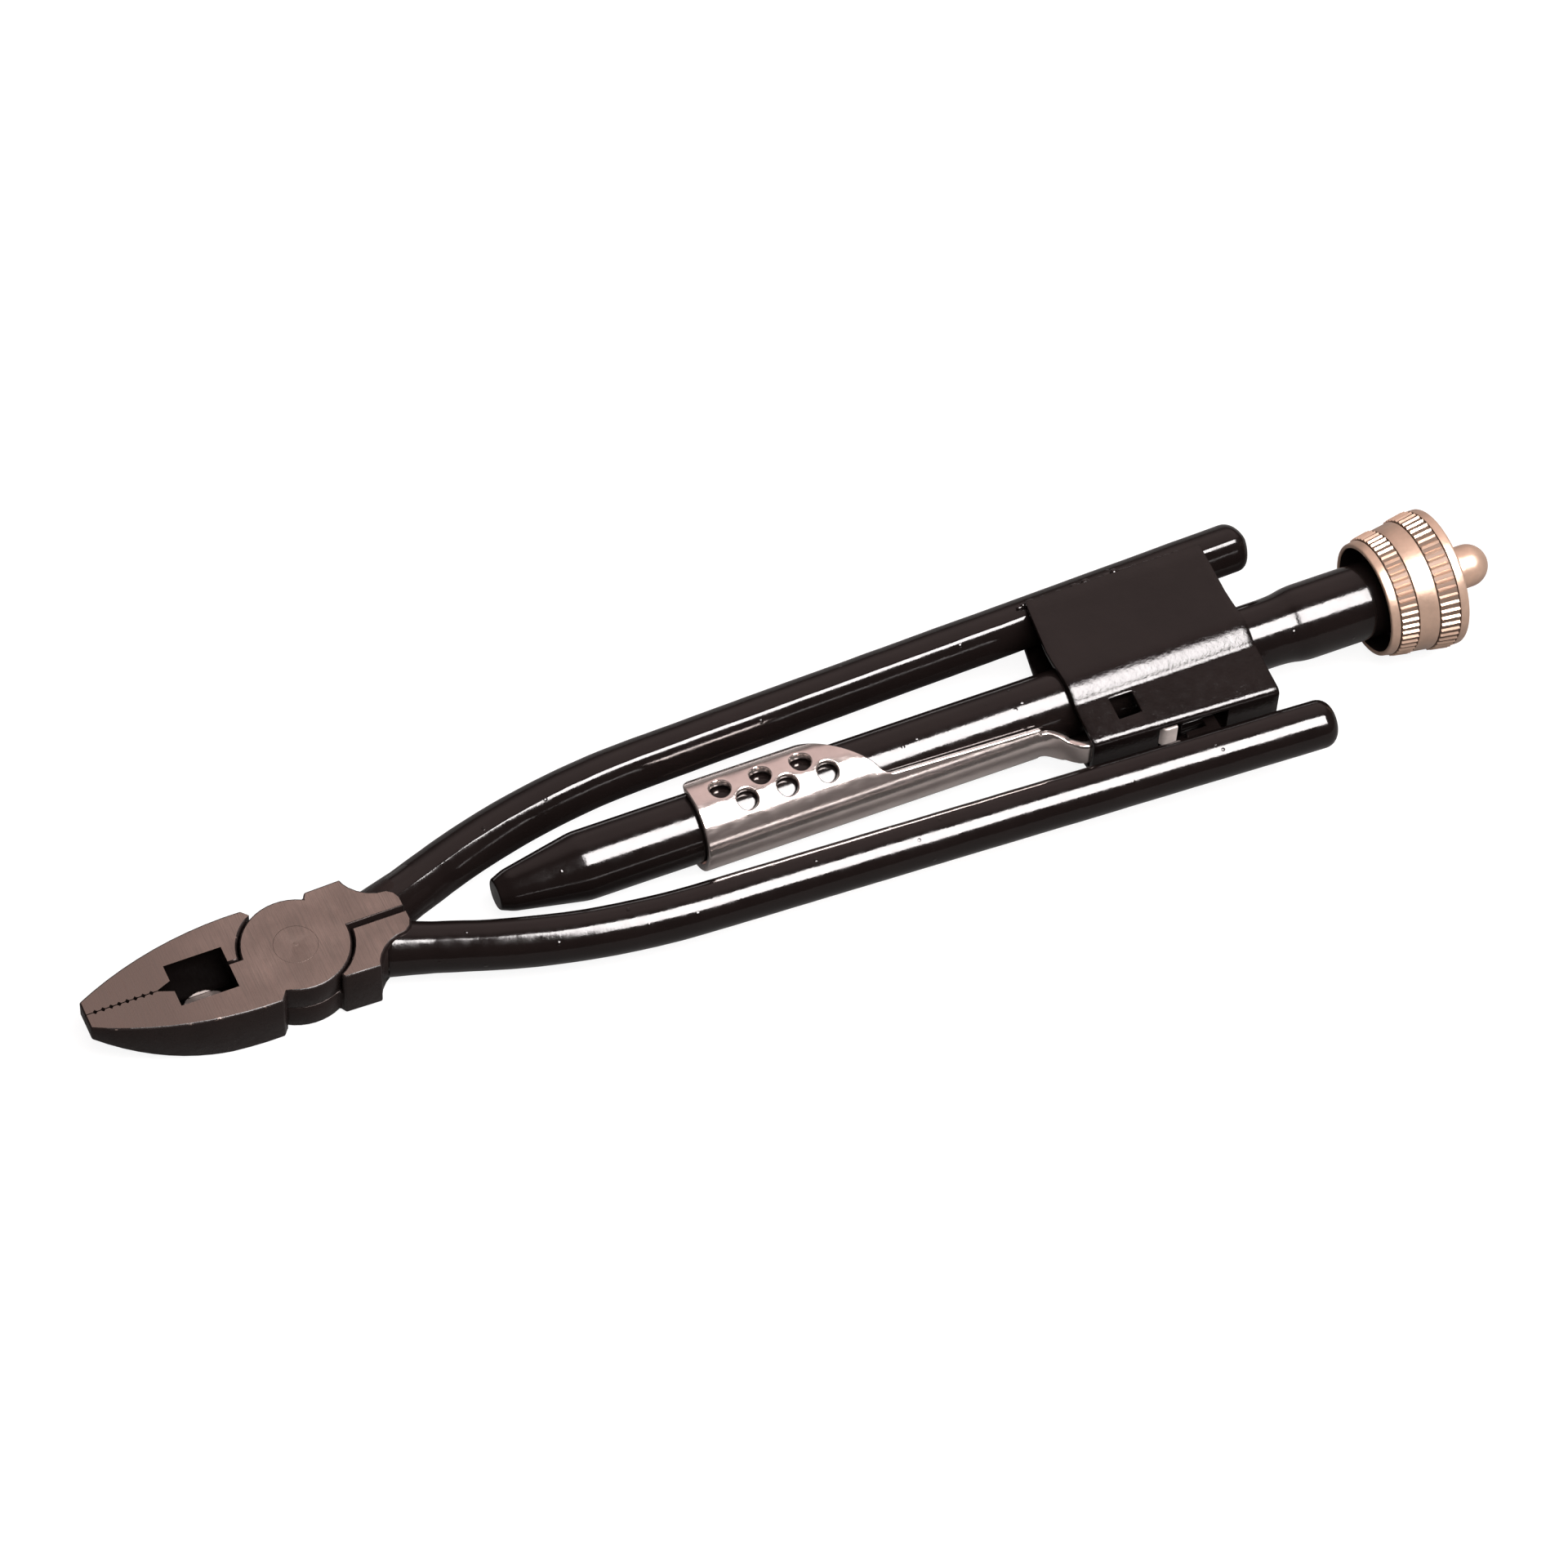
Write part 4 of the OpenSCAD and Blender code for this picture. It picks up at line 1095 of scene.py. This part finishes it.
class PLIERS_OT_knob(bpy.types.Operator):
    """Stepped knob with two ribbed bands, an open black cup and a rear plate"""
    bl_idname = "pliers.knob"
    bl_label = "Knob"

    def execute(self, context):
        front, mid_a, mid_b, rear = KNOB_BANDS
        bands = ((front, mid_a), (mid_b, rear))
        outline = [(CUP_DEPTH, HUB_R, 0), (CUP_DEPTH, CUP_R, 0.3), (0, CUP_R, 0.25), (0, KNOB_FRONT_R, 0.3),
                   (front, knob_r(front), 0.12)]
        for start, end in bands:
            for edge, inward in ((start, 1), (end, -1)):
                r = knob_r(edge)
                walls = [(edge + inward * 0.02, r - RIB_GROOVE, 0), (edge + inward * RIB_MARGIN, r - RIB_GROOVE, 0),
                         (edge + inward * (RIB_MARGIN + 0.02), r, 0)]
                outline += walls[::inward]
            outline.append((end, knob_r(end) + 0.1, 0.12))
            if end == mid_a:
                outline.append((mid_b, knob_r(mid_b), 0.12))
        outline += [(KNOB_LEN, KNOB_REAR_R + 0.1, 0.5), (KNOB_LEN, PLATE_R, 0.1), (CAP_X, PLATE_R, 0),
                    (CAP_X, CAVITY_R, 0), (CAVITY_X, CAVITY_R, 0), (CAVITY_X, HUB_R, 0)]
        bm = revolve(rounded(outline), 120, closed=True, start=KNOB_X)
        for face in bm.faces:
            middle = face.calc_center_median()
            at = middle.x - KNOB_X
            inside = hypot(middle.y, middle.z - AXIS_Z) < CUP_R + 0.1 and at > 0.35
            face.material_index = 1 if inside and at < CAP_X else 0
            # The bands' surface between the ribs gets painted shade.
            if not inside and any(start < at < end for start, end in bands):
                face.material_index = 2
        make_piece("knob", bm, [satin_nickel(), cup_black(), rib_gap_shade()], "knob", "satin_nickel", ["knob_shell"],
                   sharp=38)
        tree = rib_tree()
        slope = (KNOB_REAR_R - KNOB_FRONT_R) / rear
        for name, (start, end) in zip(("ribs_front", "ribs_rear"), bands):
            mesh = grown_mesh(
                name, tree, Count=sizes().rib_count, Radius=knob_r((start + end) / 2) * MM, Slope=slope,
                Start=(KNOB_X + start + 0.3) * MM, Length=(end - start - 0.6) * MM, Width=0.52 * MM,
                Height=sizes().rib_depth * 1.5 * MM, Axis=AXIS_Z * MM, Material=satin_nickel())
            dress(name, mesh, [satin_nickel()], "knob", "satin_nickel")
        plate = rounded([(CAP_X + 0.05, PIN_R + 0.05, 0), (KNOB_LEN, PIN_R + 0.05, 0.15),
                         (KNOB_LEN, PLATE_R - 0.08, 0.2), (CAP_X + 0.05, PLATE_R - 0.08, 0)], 3)
        bm = revolve(plate, closed=True, start=KNOB_X)
        make_piece("knob_plate", bm, [satin_nickel()], "knob", "satin_nickel", ["knob_cap"])
        return {"FINISHED"}


class PLIERS_OT_pin(bpy.types.Operator):
    """Domed selector pin with its inner flange"""
    bl_idname = "pliers.pin"
    bl_label = "Selector pin"

    def execute(self, context):
        flange = CAP_X - 0.1
        profile = [(flange - 0.9, 0), (flange - 0.9, 5.2), (flange, 5.2)]
        profile += [(x, PIN_R) for x in (flange, KNOB_LEN, KNOB_LEN + 3)]
        profile += [(PIN_END - PIN_R * (1 - sin(a)), PIN_R * cos(a)) for a in quarter(12)]
        bm = revolve(profile, 72, start=KNOB_X)
        make_piece("pin", bm, [satin_nickel()], "selector", "satin_nickel", ["selector_pin"])
        return {"FINISHED"}


# ---- inner drive ----


class PLIERS_OT_drive(bpy.types.Operator):
    """Twisted rod drawn through the nut, and the finishes of the pieces inside the knob"""
    bl_idname = "pliers.drive"
    bl_label = "Twist drive"

    def execute(self, context):
        mesh = grown_mesh(
            "rod_twist", twist_tree(), Start=ROD_X * MM, Length=(ROD_END_X - ROD_X) * MM, Width=ROD_WIDTH * MM,
            Corner=ROD_CORNER * MM, Lead=sizes().twist_lead * MM, Steps=310, Axis=AXIS_Z * MM, Material=oiled_steel())
        bm = bmesh.new()
        bm.from_mesh(mesh)
        resize(bm, 1 / MM)
        nose = [(ROD_NOSE_X, 0), (ROD_NOSE_X, ROD_NOSE_R - TURNED_EDGE), (ROD_NOSE_X + TURNED_EDGE, ROD_NOSE_R),
                (ROD_X + 0.3, ROD_NOSE_R), (ROD_X + 0.3, 0)]
        front, rear = SHANK_X
        shank = [(front, 0), (front, SHANK_R), (GROOVE_X[0], SHANK_R), (GROOVE_X[0], GROOVE_R),
                 (GROOVE_X[1], GROOVE_R), (GROOVE_X[1], SHANK_R), (rear - TURNED_EDGE, SHANK_R),
                 (rear, SHANK_R - TURNED_EDGE), (rear, 0)]
        for profile in (nose, shank):
            extra = to_mesh(revolve(profile, 48), "rod_end")
            bm.from_mesh(extra)
            bpy.data.meshes.remove(extra)
        bpy.data.meshes.remove(mesh)
        make_piece("rod", bm, [oiled_steel()], "rod", "inner_steel", ["twist_rod"], sharp=40)
        for material, nodes in ((turned_bronze(), ("drive_nut", "rod_stop", "thrust_washer", "knob_bush")),
                                (oiled_steel(), ("nut_clip", "ratchet_wheel", "rod_clip", "pawl_pins",
                                                 "pawls", "pawl_springs"))):
            for node in nodes:
                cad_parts[node].material_slots[0].material = material
        return {"FINISHED"}


# ---- stage ----


def add_camera(lens):
    """Camera of the photograph, fitted to the tool's straight lines and discs."""
    azimuth, elevation, roll = (radians(a) for a in CAMERA_TURN)
    back = Vector((sin(azimuth) * cos(elevation), -cos(azimuth) * cos(elevation),
                   sin(elevation)))
    right = Vector((cos(azimuth), sin(azimuth), 0))
    up = back.cross(right)
    across = cos(roll) * right + sin(roll) * up
    upward = -sin(roll) * right + cos(roll) * up
    data = bpy.data.cameras.new("camera")
    data.lens = lens
    data.sensor_width = 36
    data.clip_end = 20
    camera = add_object("camera", data)
    turn = Matrix((across, upward, back)).transposed().to_4x4()
    camera.matrix_world = Matrix.Translation(CAMERA_AT) @ turn
    bpy.context.scene.camera = camera


def add_floor(grey, glow, mirror_glow):
    """Grey floor under the head and the knob, lifted to white for the camera and less where it is mirrored."""
    bm = bmesh.new()
    bmesh.ops.create_grid(bm, x_segments=8, y_segments=8, size=3)
    tilt = atan2(*FLOOR_FALL)
    for v in bm.verts:
        v.co = Vector((v.co.x, v.co.y, -0.0002 - tan(tilt) * (v.co.x + 0.013)))
    floor = add_object("floor", to_mesh(bm, "floor"))
    s = Shader("pale_floor")
    s.set(Roughness=0.9, Specular_IOR_Level=0.0)
    s.to("Base Color", s.blend(s.noise(0.02, 2.0), rgba((grey, grey * 0.985, grey * 0.98)),
                               rgba((grey * 1.03, grey * 1.01, grey))))
    rays = s.node("LightPath", {})
    mirrored = s.math("MAXIMUM", rays["Is Glossy Ray"], rays["Is Transmission Ray"])
    s.set(Emission_Color=(1, 1, 1, 1))
    s.to("Emission Strength", s.math("ADD", s.math("MULTIPLY", rays["Is Camera Ray"], glow),
                                     s.math("MULTIPLY", mirrored, mirror_glow)))
    floor.data.materials.append(s.material)


def facing(direction, distance):
    """Place and turn, at a distance from the tool's middle, of a card or lamp that faces it."""
    towards = Vector(direction).normalized()
    across = Vector((1, 0, 0))
    across = (across - towards * across.dot(towards)).normalized()
    turn = Matrix((across, towards.cross(across), towards)).transposed().to_4x4()
    return Matrix.Translation(Vector((0.1, 0, 0)) + towards * distance) @ turn


def add_card(direction, ends, height, strength, distance):
    """Face of the soft box as gloss paint and metal mirror it; the lamp gives the light."""
    mesh = bpy.data.meshes.new("card")
    place = facing(direction, distance)
    corners = [(ends[0], -height / 2), (ends[1], -height / 2), (ends[1], height / 2), (ends[0], height / 2)]
    mesh.from_pydata([place @ Vector((a, b, 0)) for a, b in corners], [], [(0, 1, 2, 3)])
    card = add_object("card", mesh)
    s = Shader("card_face")
    s.set(Base_Color=(0, 0, 0, 1), Specular_IOR_Level=0.0, Emission_Color=(1.0, 0.955, 0.95, 1),
          Emission_Strength=strength)
    mesh.materials.append(s.material)
    card.visible_camera = card.visible_diffuse = card.visible_shadow = card.visible_transmission = False


def add_strip(name, direction, size, power, distance=1.2):
    """Soft box that faces the tool's middle."""
    data = bpy.data.lights.new(name, "AREA")
    data.shape = "RECTANGLE"
    data.size, data.size_y = size
    data.energy = power
    data.color = (1.0, 0.965, 0.95)
    lamp = add_object(name, data)
    lamp.matrix_world = facing(direction, distance)
    lamp.visible_glossy = False


def add_sky(strength):
    """Dim warm sky, brighter behind and above the tool and dark on the camera's side."""
    world = bpy.data.worlds.new("studio")
    world.use_nodes = True
    tree = world.node_tree
    direction = wire(tree, "ShaderNodeTexCoord", {})["Generated"]
    near = wire(tree, "ShaderNodeVectorMath", {0: direction, 1: Vector(SKY_FROM).normalized()},
                operation="DOT_PRODUCT")["Value"]
    ramp = wire(tree, "ShaderNodeMapRange", {"Value": near, "From Min": 0.74, "From Max": 0.97, "To Min": 0.08,
                                             "To Max": 1.0}, interpolation_type="SMOOTHSTEP")["Result"]
    background = tree.nodes["Background"].inputs
    background["Color"].default_value = (1.0, 0.78, 0.75, 1)
    tree.links.new(wire(tree, "ShaderNodeMath", {0: ramp, 1: strength}, operation="MULTIPLY")["Value"],
                   background["Strength"])
    bpy.context.scene.world = world


class PLIERS_OT_stage(bpy.types.Operator):
    """Floor, lights and the photograph's camera"""
    bl_idname = "pliers.stage"
    bl_label = "Stage"

    def execute(self, context):
        stage = context.scene.pliers_stage
        add_camera(stage.lens)
        add_floor(stage.floor_grey, stage.floor_glow, stage.mirror_glow)
        add_strip("strip", STRIP_FROM, (1.6, 0.7), stage.strip_power)
        add_card(CARD_FROM, (-0.9, 1.9), 4.0, stage.card, 6.0)
        add_sky(stage.sky)
        context.scene.view_settings.view_transform = "Standard"
        return {"FINISHED"}


class PLIERS_PT_panel(bpy.types.Panel):
    """Lists the pieces and their sizes"""
    bl_idname = "PLIERS_PT_panel"
    bl_label = "Safety wire pliers"
    bl_space_type = "VIEW_3D"
    bl_region_type = "UI"
    bl_category = "Pliers"

    def draw(self, context):
        for operator in OPERATORS:
            self.layout.operator(operator.bl_idname)
        for group in (context.scene.pliers_sizes, context.scene.pliers_finish, context.scene.pliers_stage):
            for key in group.bl_rna.properties.keys():
                if key not in ("rna_type", "name"):
                    self.layout.prop(group, key)


GROUPS = (("pliers_sizes", PliersSizes), ("pliers_finish", PliersFinish), ("pliers_stage", PliersStage))
OPERATORS = (PLIERS_OT_levers, PLIERS_OT_rivet, PLIERS_OT_housing, PLIERS_OT_barrel, PLIERS_OT_slide,
             PLIERS_OT_knob, PLIERS_OT_pin, PLIERS_OT_drive, PLIERS_OT_stage)


def register():
    for key, group in GROUPS:
        bpy.utils.register_class(group)
        setattr(bpy.types.Scene, key, bpy.props.PointerProperty(type=group))
    for operator in OPERATORS:
        bpy.utils.register_class(operator)
    bpy.utils.register_class(PLIERS_PT_panel)


def unregister():
    bpy.utils.unregister_class(PLIERS_PT_panel)
    for operator in reversed(OPERATORS):
        bpy.utils.unregister_class(operator)
    for key, group in reversed(GROUPS):
        delattr(bpy.types.Scene, key)
        bpy.utils.unregister_class(group)


def main():
    register()
    bpy.ops.pliers.levers()
    bpy.ops.pliers.rivet()
    bpy.ops.pliers.housing()
    bpy.ops.pliers.barrel()
    bpy.ops.pliers.slide()
    bpy.ops.pliers.knob()
    bpy.ops.pliers.pin()
    bpy.ops.pliers.drive()
    bpy.ops.pliers.stage()


if __name__ == "__main__":
    main()
